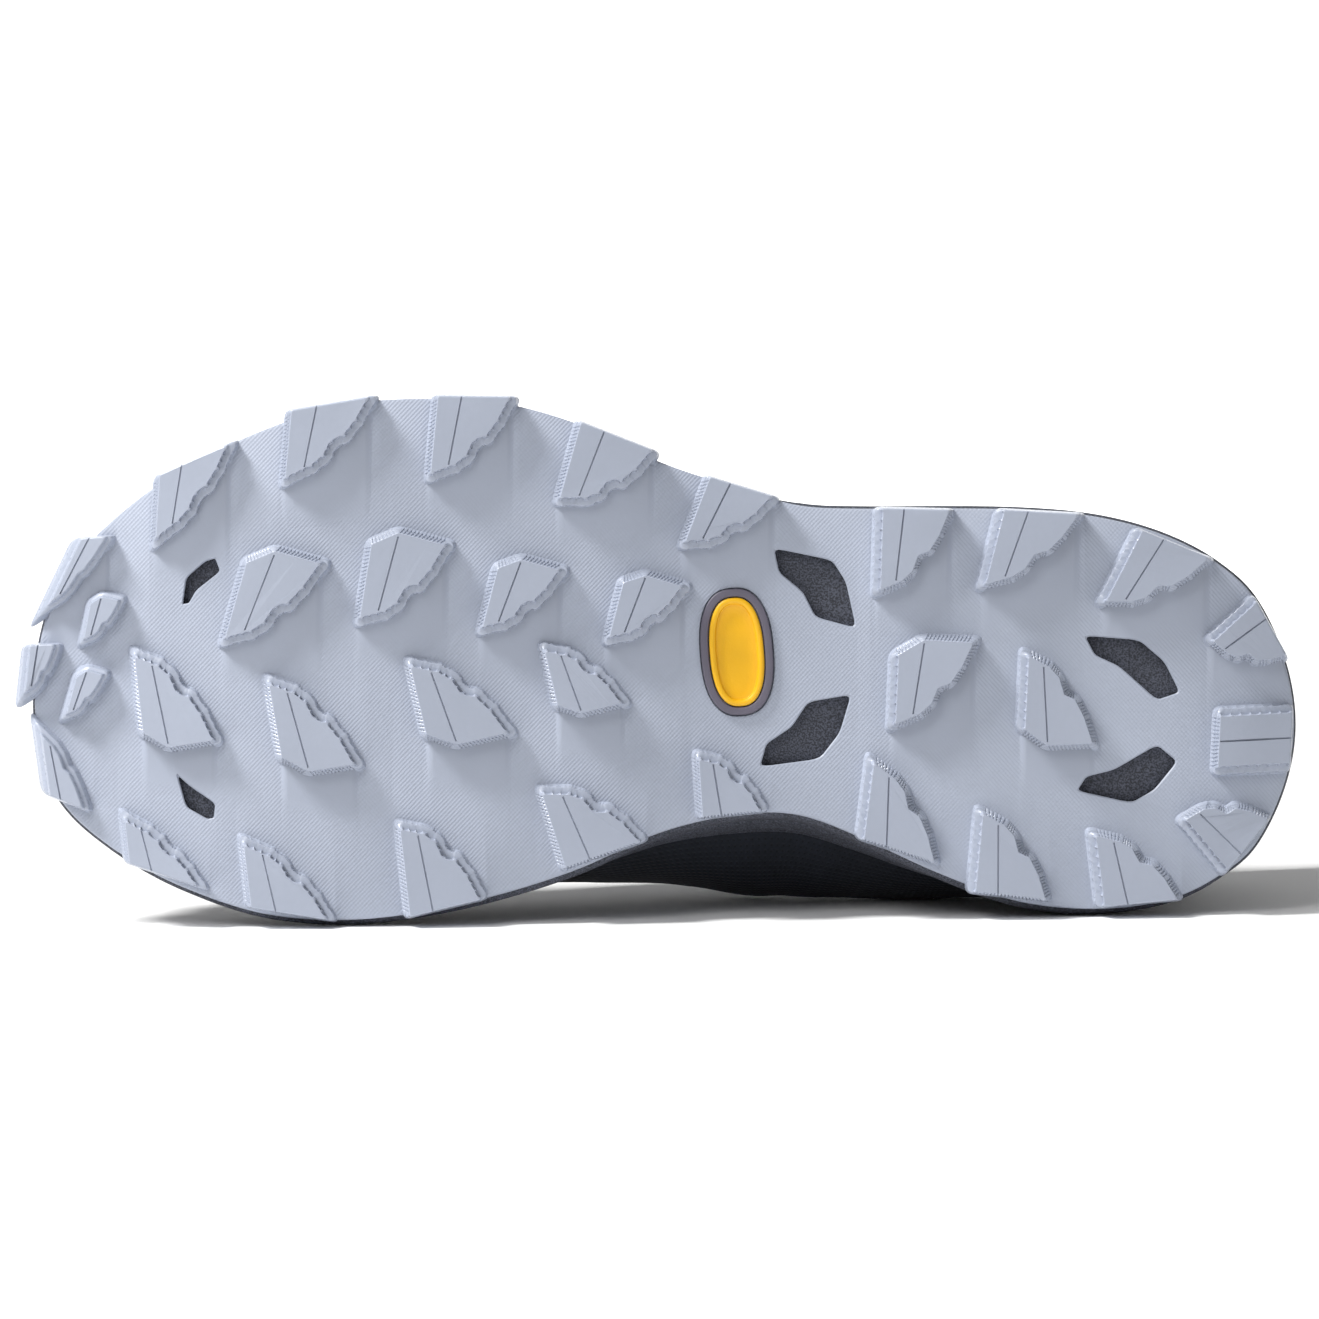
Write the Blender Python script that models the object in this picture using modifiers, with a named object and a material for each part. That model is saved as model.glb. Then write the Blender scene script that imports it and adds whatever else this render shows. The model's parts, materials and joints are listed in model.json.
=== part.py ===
"""Left trail running shoe, empty and unworn, lying on its medial side.

The shoe is drawn in its own frame: x runs from the heel's back end to the toe, y points to the
lateral side (the wearer's left) and z points up from the faces of the lugs. At the end an empty
lays the whole shoe on the floor, on the medial edge of its sole and on its upper. There the
toe points to -X, the sole faces -Y and the lateral side is up, and the origin is on the floor
below the middle of the shoe. Lengths are in metres.

A turn counts half turns round the sole: 0 at the heel, 1 at the toe by way of the lateral side,
and 2 back at the heel by way of the medial side.
"""
import math

import bmesh
import bpy
import numpy as np
from mathutils import Matrix, Vector

# Sizes of the sole
SOLE_LENGTH = 0.2955       # rubber sheet, heel to toe
BALL_WIDTH = 0.122         # the sole's widest place
HEEL_SWING = -0.0033       # middle line at the heel, towards the medial side
TOE_SWING = 0.0017         # middle line at the toe, towards the lateral side
TOE_SPRING = 0.0150        # the toe's rise over the floor
SHEET = 0.0022             # rubber between the lugs
LUG_DEPTH = 0.0048
HEEL_FOAM = 0.0235         # midsole below the heel of the foot
RIB_DEPTH = 0.0014         # relief of the midsole's side
INSOLE = 0.0040
LEDGE = 0.0012             # midsole that shows outside the upper

# Sizes of the lugs' drafted flanks, in plan
BACK_DRAFT = 0.0021        # the stepped flank
FRONT_DRAFT = 0.0015       # the straight flank
RIM_DRAFT = 0.0004         # the flank that ends the sole's edge
INNER_DRAFT = 0.0015       # the same flank of a lug inside the edge
LUG_ROOT = 0.60            # share of the sheet that a lug's root reaches into

# Sizes of the inlay in the waist of the outsole
INLAY_STATION = 0.4415     # share of the length
INLAY_ACROSS = 0.111       # share of the ball width
INLAY_LENGTH = 0.0296      # across the shoe
INLAY_WIDTH = 0.0168       # along the shoe
INLAY_TILT = math.radians(-4.5)
INLAY_RIM = 0.0018
INLAY_PROUD = 0.0011       # rim over the sheet
INLAY_POCKET = 0.0012      # depth of its seat in the sheet

# Sizes of the upper
HEEL_HEIGHT = 0.0700       # collar at the heel over the footbed
INSTEP_HEIGHT = 0.0790     # top eyelets over the footbed
WALL = 0.0024
COLLAR_PAD = 0.0062        # wall at the padded collar
OVERLAY = 0.0010           # toe cap, heel counter and eyestay
TOE_CAP_HEIGHT = 0.0200    # over the midsole, at the toe
TOE_CAP_END = 0.755        # share of the length where the toe cap runs out
COUNTER_HEIGHT = 0.0460    # over the midsole, at the heel
COUNTER_END = 0.235        # share of the length where the heel counter runs out
TONGUE_THICKNESS = 0.0045
TONGUE_RISE = 0.0200       # over the top eyelets
TONGUE_CROWN = 0.0036
TONGUE_CURL = 0.0014       # lift of each row over the eyelets
EYELETS = 6                # on each side
EYELET_RADIUS = 0.0036
EYELET_BORE = 0.0019
EYELET_THICKNESS = 0.0008
LACE_RADIUS = 0.0015
LACE_LEAN = 1.3            # in radii, to one side of an eyelet that the lace passes

# Clearances
FIT = 0.0003               # between pieces that touch
SOFT_FIT = 0.0007          # between the tongue and the upper
LACE_FIT = 0.0007          # between the lace and the eyelets

# Places on the upper, as turns of the lateral side, and as shares of its sections' curves
THROAT_FRONT = 0.860       # turn at the throat's front end
THROAT_TOP = 0.515         # turn at its top end
FIRST_EYELET = 0.745       # turn of the front eyelet
TOP_EYELET = 0.525         # turn of the top eyelet
STAY_TOP = 0.485           # turn where the eyestay ends
PAD_END = 0.440            # turn where the collar's pad has run out
PAD_FADE = 0.080           # turns over which it does
EYELET_SHARE = 0.915       # where the eyelets sit
LACE_EDGE_SHARE = 0.985    # where the lace leaves the eyestay
PAD_START = 0.62           # where the collar's pad starts
PAD_GROWTH = 0.25          # share over which it reaches its full thickness
LIP_START = 0.92           # where the pad's edge starts to round off
LIP_LOSS = 0.35            # share of the pad that it loses there
TUCK_SHARE = 0.83          # the tongue's front edge, under the vamp
WING_SHARE = 0.86          # the tongue's sides, under the eyestay
WING_RISE = 0.08           # how much closer to the throat they are at the top
COLLAR_BASE = 0.15         # station from whose footbed the heights count
EYELET_SEAT = FIT + OVERLAY + FIT

# The tongue over the top eyelets, as shares of its width there
TONGUE_TOP = 0.84
TONGUE_TAPER = 0.04        # less for each row

# Counts of the faceting
AROUND = 72                # points round the sole
UPPER_AROUND = 64          # points round the upper
INLAY_AROUND = 32
EYELET_AROUND = 10
TONGUE_ROWS = 10           # along the throat
FREE_ROWS = 3              # over the top eyelets

# Forms of the small parts
INLAY_POWER = 2.5          # of the superellipse
WINDOW_CUT = 0.18          # share of a side that a window's rounded corner takes

# The outline's half widths, as shares of the ball width. Both are multiplied by a roundness
# that is 1 half way along and closes the sole at both ends.
OUTLINE = (
    # station, lateral, medial
    (0.000, 0.660, 0.620),
    (0.028, 0.690, 0.670),
    (0.060, 0.640, 0.618),
    (0.092, 0.600, 0.578),
    (0.155, 0.539, 0.498),
    (0.218, 0.487, 0.423),
    (0.281, 0.447, 0.332),
    (0.344, 0.420, 0.244),
    (0.392, 0.413, 0.196),
    (0.439, 0.437, 0.193),
    (0.502, 0.482, 0.229),
    (0.566, 0.556, 0.303),
    (0.629, 0.611, 0.365),
    (0.692, 0.645, 0.422),
    (0.755, 0.675, 0.473),
    (0.818, 0.686, 0.514),
    (0.881, 0.700, 0.540),
    (0.945, 0.737, 0.581),
    (0.976, 0.815, 0.644),
    (1.000, 0.930, 0.800),
)

# The sheet's rise as a share of the toe spring, the foam as a share of the heel's foam, and how
# far the midsole's upper edge lies inside the outline, as shares of the ball width
SOLE = (
    # station, rise, foam, lateral_inset, medial_inset
    (0.00, 0.20, 0.96, 0.070, 0.070),
    (0.05, 0.05, 1.00, 0.062, 0.062),
    (0.10, 0.00, 1.00, 0.058, 0.056),
    (0.22, 0.00, 1.00, 0.046, 0.030),
    (0.33, 0.10, 0.97, 0.040, -0.026),
    (0.42, 0.13, 0.92, 0.040, -0.040),
    (0.50, 0.07, 0.86, 0.050, -0.026),
    (0.58, 0.00, 0.78, 0.066, 0.014),
    (0.70, 0.00, 0.70, 0.082, 0.046),
    (0.80, 0.13, 0.65, 0.080, 0.054),
    (0.90, 0.46, 0.60, 0.066, 0.052),
    (1.00, 1.00, 0.52, 0.046, 0.046),
)

# The midsole's side from its lower to its upper edge
SIDE = (
    # rise as a share of the foam, lean as a share of the inset, relief as a share of RIB_DEPTH
    (0.00, 0.00, 0.2),
    (0.10, 0.00, 1.0),
    (0.36, 0.10, 1.0),
    (0.43, 0.16, 0.1),
    (0.50, 0.24, 0.9),
    (0.74, 0.60, 0.9),
    (0.81, 0.72, 0.1),
    (1.00, 1.00, 0.1),
)

# The upper's sections, each a curve from the midsole to the upper's edge at the collar or throat
UPPER = (
    # turn, then the edge: x of the length, y of the ball width, z of heel and instep height,
    # then the curve: swell of the ball width, lift and drop of the rise, reach of the run
    (0.000, 0.036, -0.022, 1.00, 0.00, 0.060, 0.36, 0.30, -0.20),
    (0.080, 0.044, 0.090, 0.99, 0.00, 0.056, 0.36, 0.30, -0.10),
    (0.160, 0.078, 0.176, 0.95, 0.00, 0.046, 0.36, 0.32, 0.10),
    (0.240, 0.128, 0.232, 0.85, 0.00, 0.036, 0.36, 0.34, 0.25),
    (0.320, 0.196, 0.268, 0.77, 0.00, 0.026, 0.36, 0.36, 0.30),
    (0.390, 0.270, 0.276, 0.80, 0.00, 0.026, 0.36, 0.36, 0.40),
    (0.450, 0.340, 0.232, 0.60, 0.35, 0.040, 0.36, 0.30, 0.50),
    (0.500, 0.396, 0.150, 0.05, 0.95, 0.060, 0.38, 0.26, 0.55),
    (0.560, 0.452, 0.124, 0.00, 0.89, 0.050, 0.40, 0.26, 0.55),
    (0.630, 0.520, 0.112, 0.00, 0.76, 0.030, 0.42, 0.24, 0.55),
    (0.710, 0.588, 0.100, 0.00, 0.64, 0.016, 0.46, 0.20, 0.55),
    (0.800, 0.636, 0.074, 0.00, 0.56, 0.014, 0.52, 0.16, 0.52),
    (0.900, 0.656, 0.038, 0.00, 0.53, 0.014, 0.58, 0.12, 0.50),
    (1.000, 0.662, 0.000, 0.00, 0.52, 0.014, 0.60, 0.10, 0.50),
    (1.100, 0.656, -0.038, 0.00, 0.53, 0.014, 0.58, 0.12, 0.50),
    (1.200, 0.636, -0.074, 0.00, 0.56, 0.014, 0.52, 0.16, 0.52),
    (1.290, 0.588, -0.100, 0.00, 0.64, 0.020, 0.46, 0.20, 0.55),
    (1.370, 0.520, -0.112, 0.00, 0.76, 0.045, 0.40, 0.22, 0.60),
    (1.440, 0.452, -0.124, 0.00, 0.89, 0.115, 0.38, 0.28, 0.72),
    (1.500, 0.396, -0.150, 0.05, 0.95, 0.240, 0.36, 0.34, 0.96),
    (1.550, 0.340, -0.236, 0.62, 0.37, 0.310, 0.36, 0.38, 1.30),
    (1.610, 0.270, -0.282, 0.86, 0.00, 0.220, 0.36, 0.42, 1.50),
    (1.680, 0.196, -0.280, 0.82, 0.00, 0.105, 0.36, 0.42, 0.80),
    (1.760, 0.128, -0.252, 0.87, 0.00, 0.050, 0.36, 0.36, 0.35),
    (1.840, 0.078, -0.204, 0.95, 0.00, 0.050, 0.36, 0.32, 0.10),
    (1.920, 0.044, -0.124, 0.99, 0.00, 0.056, 0.36, 0.30, -0.10),
    (2.000, 0.036, -0.022, 1.00, 0.00, 0.060, 0.36, 0.30, -0.20),
)
# Rings of the upper, as shares of each section's curve
UPPER_RINGS = (0.0, 0.05, 0.13, 0.23, 0.34, 0.45, 0.56, 0.67, 0.77, 0.85, 0.93, 1.0)
EYESTAY_RING = 8           # the ring where the eyestay starts

# A blade lug's face. Along runs from its front to its back corner on the outer edge, and out
# runs up its straight front edge.
BLADE = (
    # along, out
    (0.00, 1.00),
    (1.00, 1.00),
    (0.86, 0.69),
    (0.72, 0.49),
    (0.56, 0.44),
    (0.48, 0.24),
    (0.33, 0.12),
    (0.00, 0.00),
)
INNER_BLADE = ((-0.02, 0.88), (0.32, 1.06)) + BLADE[1:]    # its outer front corner is cut
BAR = ((0.00, 1.00), (1.00, 1.00), (1.00, 0.00), (0.00, 0.00))

# Lugs by three corners of the face: inner front, outer front and outer back, each as its station
# along the length and its distance from the axis in shares of the ball width
EDGE_LUGS = (
    # name, inner station, inner y, front station, front y, back station, back y
    ("lateral_1", 0.987, 0.205, 0.962, 0.329, 0.941, 0.333),
    ("lateral_2", 0.902, 0.327, 0.899, 0.451, 0.844, 0.509),
    ("lateral_3", 0.799, 0.442, 0.794, 0.574, 0.732, 0.599),
    ("lateral_4", 0.684, 0.450, 0.678, 0.601, 0.620, 0.599),
    ("lateral_5", 0.582, 0.404, 0.565, 0.551, 0.508, 0.497),
    ("lateral_6", 0.483, 0.321, 0.463, 0.446, 0.413, 0.409),
    ("medial_1", 0.927, -0.210, 0.923, -0.295, 0.868, -0.339),
    ("medial_2", 0.832, -0.256, 0.826, -0.379, 0.765, -0.402),
    ("medial_3", 0.708, -0.226, 0.700, -0.396, 0.644, -0.363),
    ("medial_4", 0.596, -0.159, 0.577, -0.304, 0.517, -0.253),
    ("medial_5", 0.472, -0.092, 0.469, -0.207, 0.422, -0.195),
    ("toe_front", 1.007, 0.033, 1.003, 0.124, 0.983, 0.126),
    ("toe_medial", 0.994, -0.048, 0.987, -0.165, 0.960, -0.191),
    ("heel_medial_1", 0.334, -0.099, 0.342, -0.249, 0.285, -0.293),
    ("heel_medial_2", 0.248, -0.197, 0.254, -0.350, 0.197, -0.365),
    ("heel_medial_3", 0.159, -0.239, 0.152, -0.377, 0.093, -0.363),
    ("heel_medial_4", 0.088, -0.210, 0.054, -0.308, 0.021, -0.210),
    ("heel_lateral_1", 0.329, 0.228, 0.327, 0.386, 0.273, 0.383),
    ("heel_lateral_2", 0.246, 0.239, 0.231, 0.383, 0.171, 0.375),
    ("heel_lateral_3", 0.151, 0.207, 0.122, 0.344, 0.068, 0.291),
    ("heel_lateral_4", 0.066, 0.132, 0.031, 0.209, 0.007, 0.105),
)
INNER_LUGS = (
    ("toe_lateral", 0.960, 0.134, 0.953, 0.214, 0.931, 0.210),
    ("toe_middle", 0.974, -0.010, 0.964, 0.073, 0.944, 0.067),
    ("inner_lateral_1", 0.847, 0.136, 0.826, 0.302, 0.770, 0.281),
    ("inner_lateral_2", 0.740, 0.174, 0.728, 0.337, 0.671, 0.316),
    ("inner_lateral_3", 0.643, 0.157, 0.628, 0.287, 0.581, 0.268),
    ("inner_lateral_4", 0.543, 0.138, 0.529, 0.258, 0.484, 0.237),
    ("inner_medial_1", 0.919, 0.105, 0.910, -0.065, 0.855, -0.059),
    ("inner_medial_2", 0.812, 0.052, 0.799, -0.111, 0.743, -0.105),
    ("inner_medial_3", 0.700, 0.086, 0.684, -0.065, 0.622, -0.044),
    ("inner_medial_4", 0.594, 0.115, 0.581, -0.006, 0.532, 0.013),
    ("heel_inner_1", 0.317, -0.029, 0.313, 0.124, 0.254, 0.130),
    ("heel_inner_2", 0.212, 0.105, 0.214, -0.057, 0.160, -0.065),
)
BAR_LUGS = (
    ("heel_end", 0.060, -0.010, 0.002, -0.003, 0.004, -0.104),
)

# Windows cut in the sheet, by their corners: station and share of the ball width
WINDOWS = (
    ("toe_lateral", ((0.855, 0.291), (0.851, 0.266), (0.870, 0.230), (0.876, 0.205),
                     (0.881, 0.203), (0.878, 0.254), (0.863, 0.285))),
    ("toe_medial", ((0.885, -0.126), (0.875, -0.147), (0.855, -0.180), (0.856, -0.207),
                    (0.861, -0.210), (0.878, -0.187))),
    ("waist_lateral", ((0.412, 0.310), (0.366, 0.287), (0.355, 0.245), (0.347, 0.157),
                       (0.379, 0.178), (0.389, 0.226), (0.408, 0.264))),
    ("waist_medial", ((0.351, 0.029), (0.385, 0.015), (0.398, -0.033), (0.418, -0.065),
                      (0.423, -0.109), (0.376, -0.094), (0.360, -0.044))),
    ("heel_lateral", ((0.166, 0.142), (0.123, 0.134), (0.103, 0.092), (0.091, 0.034),
                      (0.109, 0.019), (0.139, 0.084), (0.158, 0.105))),
    ("heel_medial", ((0.109, -0.067), (0.093, -0.099), (0.111, -0.153), (0.129, -0.178),
                     (0.172, -0.155), (0.165, -0.128), (0.143, -0.115))),
)

# Upper edges of the overlays in side view
TOE_CAP_EDGE = (
    # share of the length beyond the toe, rise over the cap's height as a share of it
    (0.10, 0.10),
    (-0.07, -0.15),
)
COUNTER_EDGE = (
    # share of its length, share of its height
    (0.82, 0.22),
    (0.60, 0.50),
    (0.30, 0.94),
)

# The lace between the eyestay's edges, and how much of a crossing's rise it has there
LACE_STEPS = (
    # step, rise
    (0.00, 0.00),
    (0.28, 0.45),
    (0.44, 1.00),
    (0.56, 1.00),
    (0.72, 0.45),
    (1.00, 0.00),
)

# Colour, roughness, metallic value and density in kg per cubic metre
FINISHES = {
    "rubber": ((0.400, 0.430, 0.520), 0.55, 0.0, 1150.0),
    "foam": ((0.085, 0.090, 0.105), 0.80, 0.0, 190.0),
    "mesh": ((0.016, 0.020, 0.032), 0.85, 0.0, 420.0),
    "overlay": ((0.030, 0.034, 0.046), 0.55, 0.0, 1050.0),
    "insole": ((0.060, 0.065, 0.075), 0.90, 0.0, 250.0),
    "inlay": ((0.900, 0.480, 0.015), 0.45, 0.0, 1150.0),
    "inlay_rim": ((0.150, 0.135, 0.170), 0.55, 0.0, 1150.0),
    "eyelet": ((0.050, 0.052, 0.058), 0.40, 0.0, 1100.0),
    "lace": ((0.055, 0.060, 0.072), 0.85, 0.0, 700.0),
}


def clear_scene():
    """Remove whatever the file starts with."""
    for thing in list(bpy.data.objects):
        bpy.data.objects.remove(thing, do_unlink=True)


def new_collection(name):
    """Add a collection to the scene."""
    group = bpy.data.collections.new(name)
    bpy.context.scene.collection.children.link(group)
    return group


def material(name, finish):
    """A plain material from the table of finishes."""
    colour, roughness, metallic, _ = FINISHES[finish]
    made = bpy.data.materials.new(name)
    made.use_nodes = True
    shader = made.node_tree.nodes["Principled BSDF"]
    shader.inputs["Base Color"].default_value = (*colour, 1.0)
    shader.inputs["Roughness"].default_value = roughness
    shader.inputs["Metallic"].default_value = metallic
    made.diffuse_color = (*colour, 1.0)
    return made


def column(table, place, index, smooth=True):
    """Read a table's column between its rows.

    smooth takes each slope from both neighbours; without it the curve keeps to the rows'
    values, so that two equal rows give a flat stretch.
    """
    at = [row[0] for row in table]
    values = [row[index] for row in table]
    last = len(table) - 1
    step = [(values[i + 1] - values[i]) / (at[i + 1] - at[i]) for i in range(last)]
    slopes = [step[0]]
    for i in range(1, last):
        if smooth:
            slopes.append((values[i + 1] - values[i - 1]) / (at[i + 1] - at[i - 1]))
        elif step[i - 1] * step[i] <= 0.0:
            slopes.append(0.0)
        else:
            slopes.append(2.0 * step[i - 1] * step[i] / (step[i - 1] + step[i]))
    slopes.append(step[-1])
    place = min(max(place, at[0]), at[-1])
    i = min(max(int(np.searchsorted(at, place)) - 1, 0), last - 1)
    width = at[i + 1] - at[i]
    s = (place - at[i]) / width
    return ((1 + 2 * s) * (1 - s) ** 2 * values[i] + s * (1 - s) ** 2 * width * slopes[i]
            + s * s * (3 - 2 * s) * values[i + 1] + s * s * (s - 1) * width * slopes[i + 1])


def half_turn(station):
    """The half turn from the heel at a station of the length."""
    return math.acos(1.0 - 2.0 * min(max(station, 0.0), 1.0)) / math.pi


def station_of(turn):
    """The station of the length at a turn."""
    return (1.0 - math.cos(math.pi * turn)) / 2.0


OUTLINE_BY_TURN = tuple((half_turn(row[0]), row[1], row[2]) for row in OUTLINE)


def middle(station):
    """The sole's middle line."""
    return HEEL_SWING + (TOE_SWING - HEEL_SWING) * station


def outline(turn):
    """A point of the sheet's outline, as x and y."""
    turn = turn % 2.0
    lateral = turn <= 1.0
    part = turn if lateral else 2.0 - turn
    station = station_of(part)
    share = column(OUTLINE_BY_TURN, part, 1 if lateral else 2)
    half = share * BALL_WIDTH * math.sin(math.pi * part)
    return np.array([station * SOLE_LENGTH, middle(station) + (half if lateral else -half)])


def outward(turn):
    """The level unit vector that points out of the outline."""
    step = 0.002
    run = outline(turn + step) - outline(turn - step)
    normal = np.array([-run[1], run[0]])
    return normal / np.linalg.norm(normal)


def sole_value(x, index):
    """Read the sole's table at a length from the heel."""
    return column(SOLE, x / SOLE_LENGTH, index, smooth=False)


def rise(x):
    """Height of the lugs' faces over the floor."""
    return sole_value(x, 1) * TOE_SPRING


def foam_base(x):
    """Height of the midsole's underside."""
    return rise(x) + LUG_DEPTH + SHEET + FIT


def footbed(x):
    """Height of the midsole's top."""
    return foam_base(x) + sole_value(x, 2) * HEEL_FOAM


def edge_inset(turn):
    """How far the midsole's upper edge lies inside the outline."""
    turn = turn % 2.0
    part = turn if turn <= 1.0 else 2.0 - turn
    index = 3 if turn <= 1.0 else 4
    return column(SOLE, station_of(part), index, smooth=False) * BALL_WIDTH


def plan_point(turn, inset):
    """A point of the outline moved in by an inset."""
    return outline(turn) - outward(turn) * inset


def turns(count):
    """Evenly spaced turns, from the heel and back to it."""
    return [2.0 * i / count for i in range(count)]


def add_object(name, shape, finish, group):
    """Put a mesh or curve in the scene as a named piece with its own material."""
    piece = bpy.data.objects.new(name, shape)
    piece.data.materials.append(material(name, finish))
    piece["density"] = FINISHES[finish][3]
    group.objects.link(piece)
    return piece


def mesh_from(name, points, faces):
    """A mesh with its normals made consistent."""
    mesh = bpy.data.meshes.new(name)
    mesh.from_pydata([tuple(p) for p in points], [], faces)
    shape = bmesh.new()
    shape.from_mesh(mesh)
    bmesh.ops.remove_doubles(shape, verts=shape.verts, dist=1e-6)
    bmesh.ops.recalc_face_normals(shape, faces=shape.faces)
    shape.to_mesh(mesh)
    shape.free()
    return mesh


def ladder_solid(name, rings):
    """A closed loft through level rings, its two ends closed by rungs from side to side."""
    count = len(rings[0])
    points = [p for ring in rings for p in ring]
    faces = []
    for level in range(len(rings) - 1):
        low = level * count
        high = low + count
        for i in range(count):
            j = (i + 1) % count
            faces.append((low + i, low + j, high + j, high + i))
    for base in (0, (len(rings) - 1) * count):
        for i in range(count // 2):
            right, left = (count - i) % count, count - i - 1
            corners = [base + k for k in (i, i + 1, left, right)]
            faces.append(tuple(dict.fromkeys(corners)))
    return mesh_from(name, points, faces)


def level_ring(count, inset, height):
    """A ring at an inset from the outline; height gives z at an x."""
    ring = []
    for turn in turns(count):
        x, y = plan_point(turn, inset(turn))
        ring.append((x, y, height(x)))
    return ring


def triangulate(piece):
    """Split the faces of a piece that is cut or joined, so that each is flat."""
    shape = bmesh.new()
    shape.from_mesh(piece.data)
    bmesh.ops.triangulate(shape, faces=shape.faces)
    shape.to_mesh(piece.data)
    shape.free()


def combine(piece, other, operation):
    """Give a piece an exact Boolean with another object."""
    modifier = piece.modifiers.new(operation.lower() + "_" + other.name, "BOOLEAN")
    modifier.operation = operation
    modifier.solver = "EXACT"
    modifier.object = other
    return modifier


def guide(name, mesh, group):
    """An object that only cuts or joins."""
    helper = bpy.data.objects.new(name, mesh)
    helper.hide_render = True
    helper.display_type = "WIRE"
    group.objects.link(helper)
    return helper


def offset_corners(corners, drafts):
    """Move each edge of a flat polygon out by its own draft and meet them again."""
    count = len(corners)
    area = sum(corners[i][0] * corners[(i + 1) % count][1]
               - corners[(i + 1) % count][0] * corners[i][1] for i in range(count))
    sign = 1.0 if area > 0.0 else -1.0
    lines = []
    for i in range(count):
        run = corners[(i + 1) % count] - corners[i]
        normal = sign * np.array([run[1], -run[0]]) / np.linalg.norm(run)
        lines.append((normal, normal @ corners[i] + drafts[i]))
    moved = []
    for i in range(count):
        (n1, d1), (n2, d2) = lines[i - 1], lines[i]
        moved.append(np.linalg.solve(np.array([n1, n2]), np.array([d1, d2])))
    return moved


def place(station, across):
    """The point at a station and a share of the ball width from the axis."""
    return np.array([station * SOLE_LENGTH, across * BALL_WIDTH])


def lug_face(row, template):
    """The corners of a lug's face in plan."""
    inner, front, back = place(*row[1:3]), place(*row[3:5]), place(*row[5:7])
    return [inner + (back - front) * along + (front - inner) * out for along, out in template]


def lug_mesh(row, template, edge_draft, edge_sides=1):
    """A lug from its face to its root in the sheet."""
    face = lug_face(row, template)
    stepped = [BACK_DRAFT] * (len(face) - edge_sides - 1)
    drafts = [edge_draft] * edge_sides + stepped + [FRONT_DRAFT]
    root = offset_corners(face, drafts)
    count = len(face)
    points = [(x, y, rise(x)) for x, y in face]
    points += [(x, y, rise(x) + LUG_DEPTH + LUG_ROOT * SHEET) for x, y in root]
    faces = [tuple(range(count)), tuple(range(count, 2 * count))]
    for i in range(count):
        j = (i + 1) % count
        faces.append((i, j, count + j, count + i))
    return mesh_from(row[0], points, faces)


def joined_mesh(name, meshes):
    """One mesh that holds several closed bodies."""
    shape = bmesh.new()
    for mesh in meshes:
        shape.from_mesh(mesh)
        bpy.data.meshes.remove(mesh)
    bmesh.ops.triangulate(shape, faces=shape.faces)
    joined = bpy.data.meshes.new(name)
    shape.to_mesh(joined)
    shape.free()
    return joined


def window_mesh(row):
    """A cutter for one window, with its corners cut off."""
    corners = [place(*pair) for pair in row[1]]
    rounded = []
    for i, corner in enumerate(corners):
        for other in (corners[i - 1], corners[(i + 1) % len(corners)]):
            rounded.append(corner + (other - corner) * WINDOW_CUT)
    count = len(rounded)
    points = []
    for level in (-0.5, 1.5):
        points += [(x, y, rise(x) + LUG_DEPTH + level * SHEET) for x, y in rounded]
    faces = [tuple(range(count)), tuple(range(count, 2 * count))]
    for i in range(count):
        j = (i + 1) % count
        faces.append((i, j, count + j, count + i))
    return mesh_from(row[0], points, faces)


def sheet_underside(x):
    """Height of the sheet between the lugs."""
    return rise(x) + LUG_DEPTH


def oval_ring(length, width, height):
    """A ring of the inlay, an oval across the shoe; height gives z at an x."""
    centre = place(INLAY_STATION, INLAY_ACROSS)
    ring = []
    flat = 2.0 / INLAY_POWER
    for i in range(INLAY_AROUND):
        angle = 2.0 * math.pi * i / INLAY_AROUND
        u = width / 2.0 * math.copysign(abs(math.cos(angle)) ** flat, math.cos(angle))
        v = length / 2.0 * math.copysign(abs(math.sin(angle)) ** flat, math.sin(angle))
        x = centre[0] + u * math.cos(INLAY_TILT) - v * math.sin(INLAY_TILT)
        y = centre[1] + u * math.sin(INLAY_TILT) + v * math.cos(INLAY_TILT)
        ring.append((x, y, height(x)))
    return ring


def stack_mesh(name, rings, hollow=False):
    """A closed loft through rings; hollow joins the last ring to the first."""
    count = len(rings[0])
    points = [p for ring in rings for p in ring]
    faces = []
    levels = len(rings) if hollow else len(rings) - 1
    for level in range(levels):
        low, high = level * count, ((level + 1) % len(rings)) * count
        for i in range(count):
            j = (i + 1) % count
            faces.append((low + i, low + j, high + j, high + i))
    if not hollow:
        faces.append(tuple(range(count)))
        faces.append(tuple(range((len(rings) - 1) * count, len(rings) * count)))
    return mesh_from(name, points, faces)


def inlay_level(depth):
    """A level that lies a depth into the sheet from its underside."""
    return lambda x: sheet_underside(x) + depth


def make_inlay(group):
    """The oval inlay and the raised rim round it."""
    seat = inlay_level(INLAY_POCKET - FIT)
    proud = inlay_level(-INLAY_PROUD)
    inner_length, inner_width = INLAY_LENGTH - 2 * INLAY_RIM, INLAY_WIDTH - 2 * INLAY_RIM
    rim = [
        oval_ring(INLAY_LENGTH, INLAY_WIDTH, seat),
        oval_ring(INLAY_LENGTH, INLAY_WIDTH, proud),
        oval_ring(inner_length, inner_width, proud),
        oval_ring(inner_length, inner_width, seat),
    ]
    add_object("badge_rim", stack_mesh("badge_rim", rim, hollow=True), "inlay_rim", group)
    fill = [
        oval_ring(inner_length - 2 * FIT, inner_width - 2 * FIT, seat),
        oval_ring(inner_length - 2 * FIT, inner_width - 2 * FIT, inlay_level(-INLAY_PROUD / 2)),
    ]
    add_object("badge_inlay", stack_mesh("badge_inlay", fill), "inlay", group)


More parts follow.
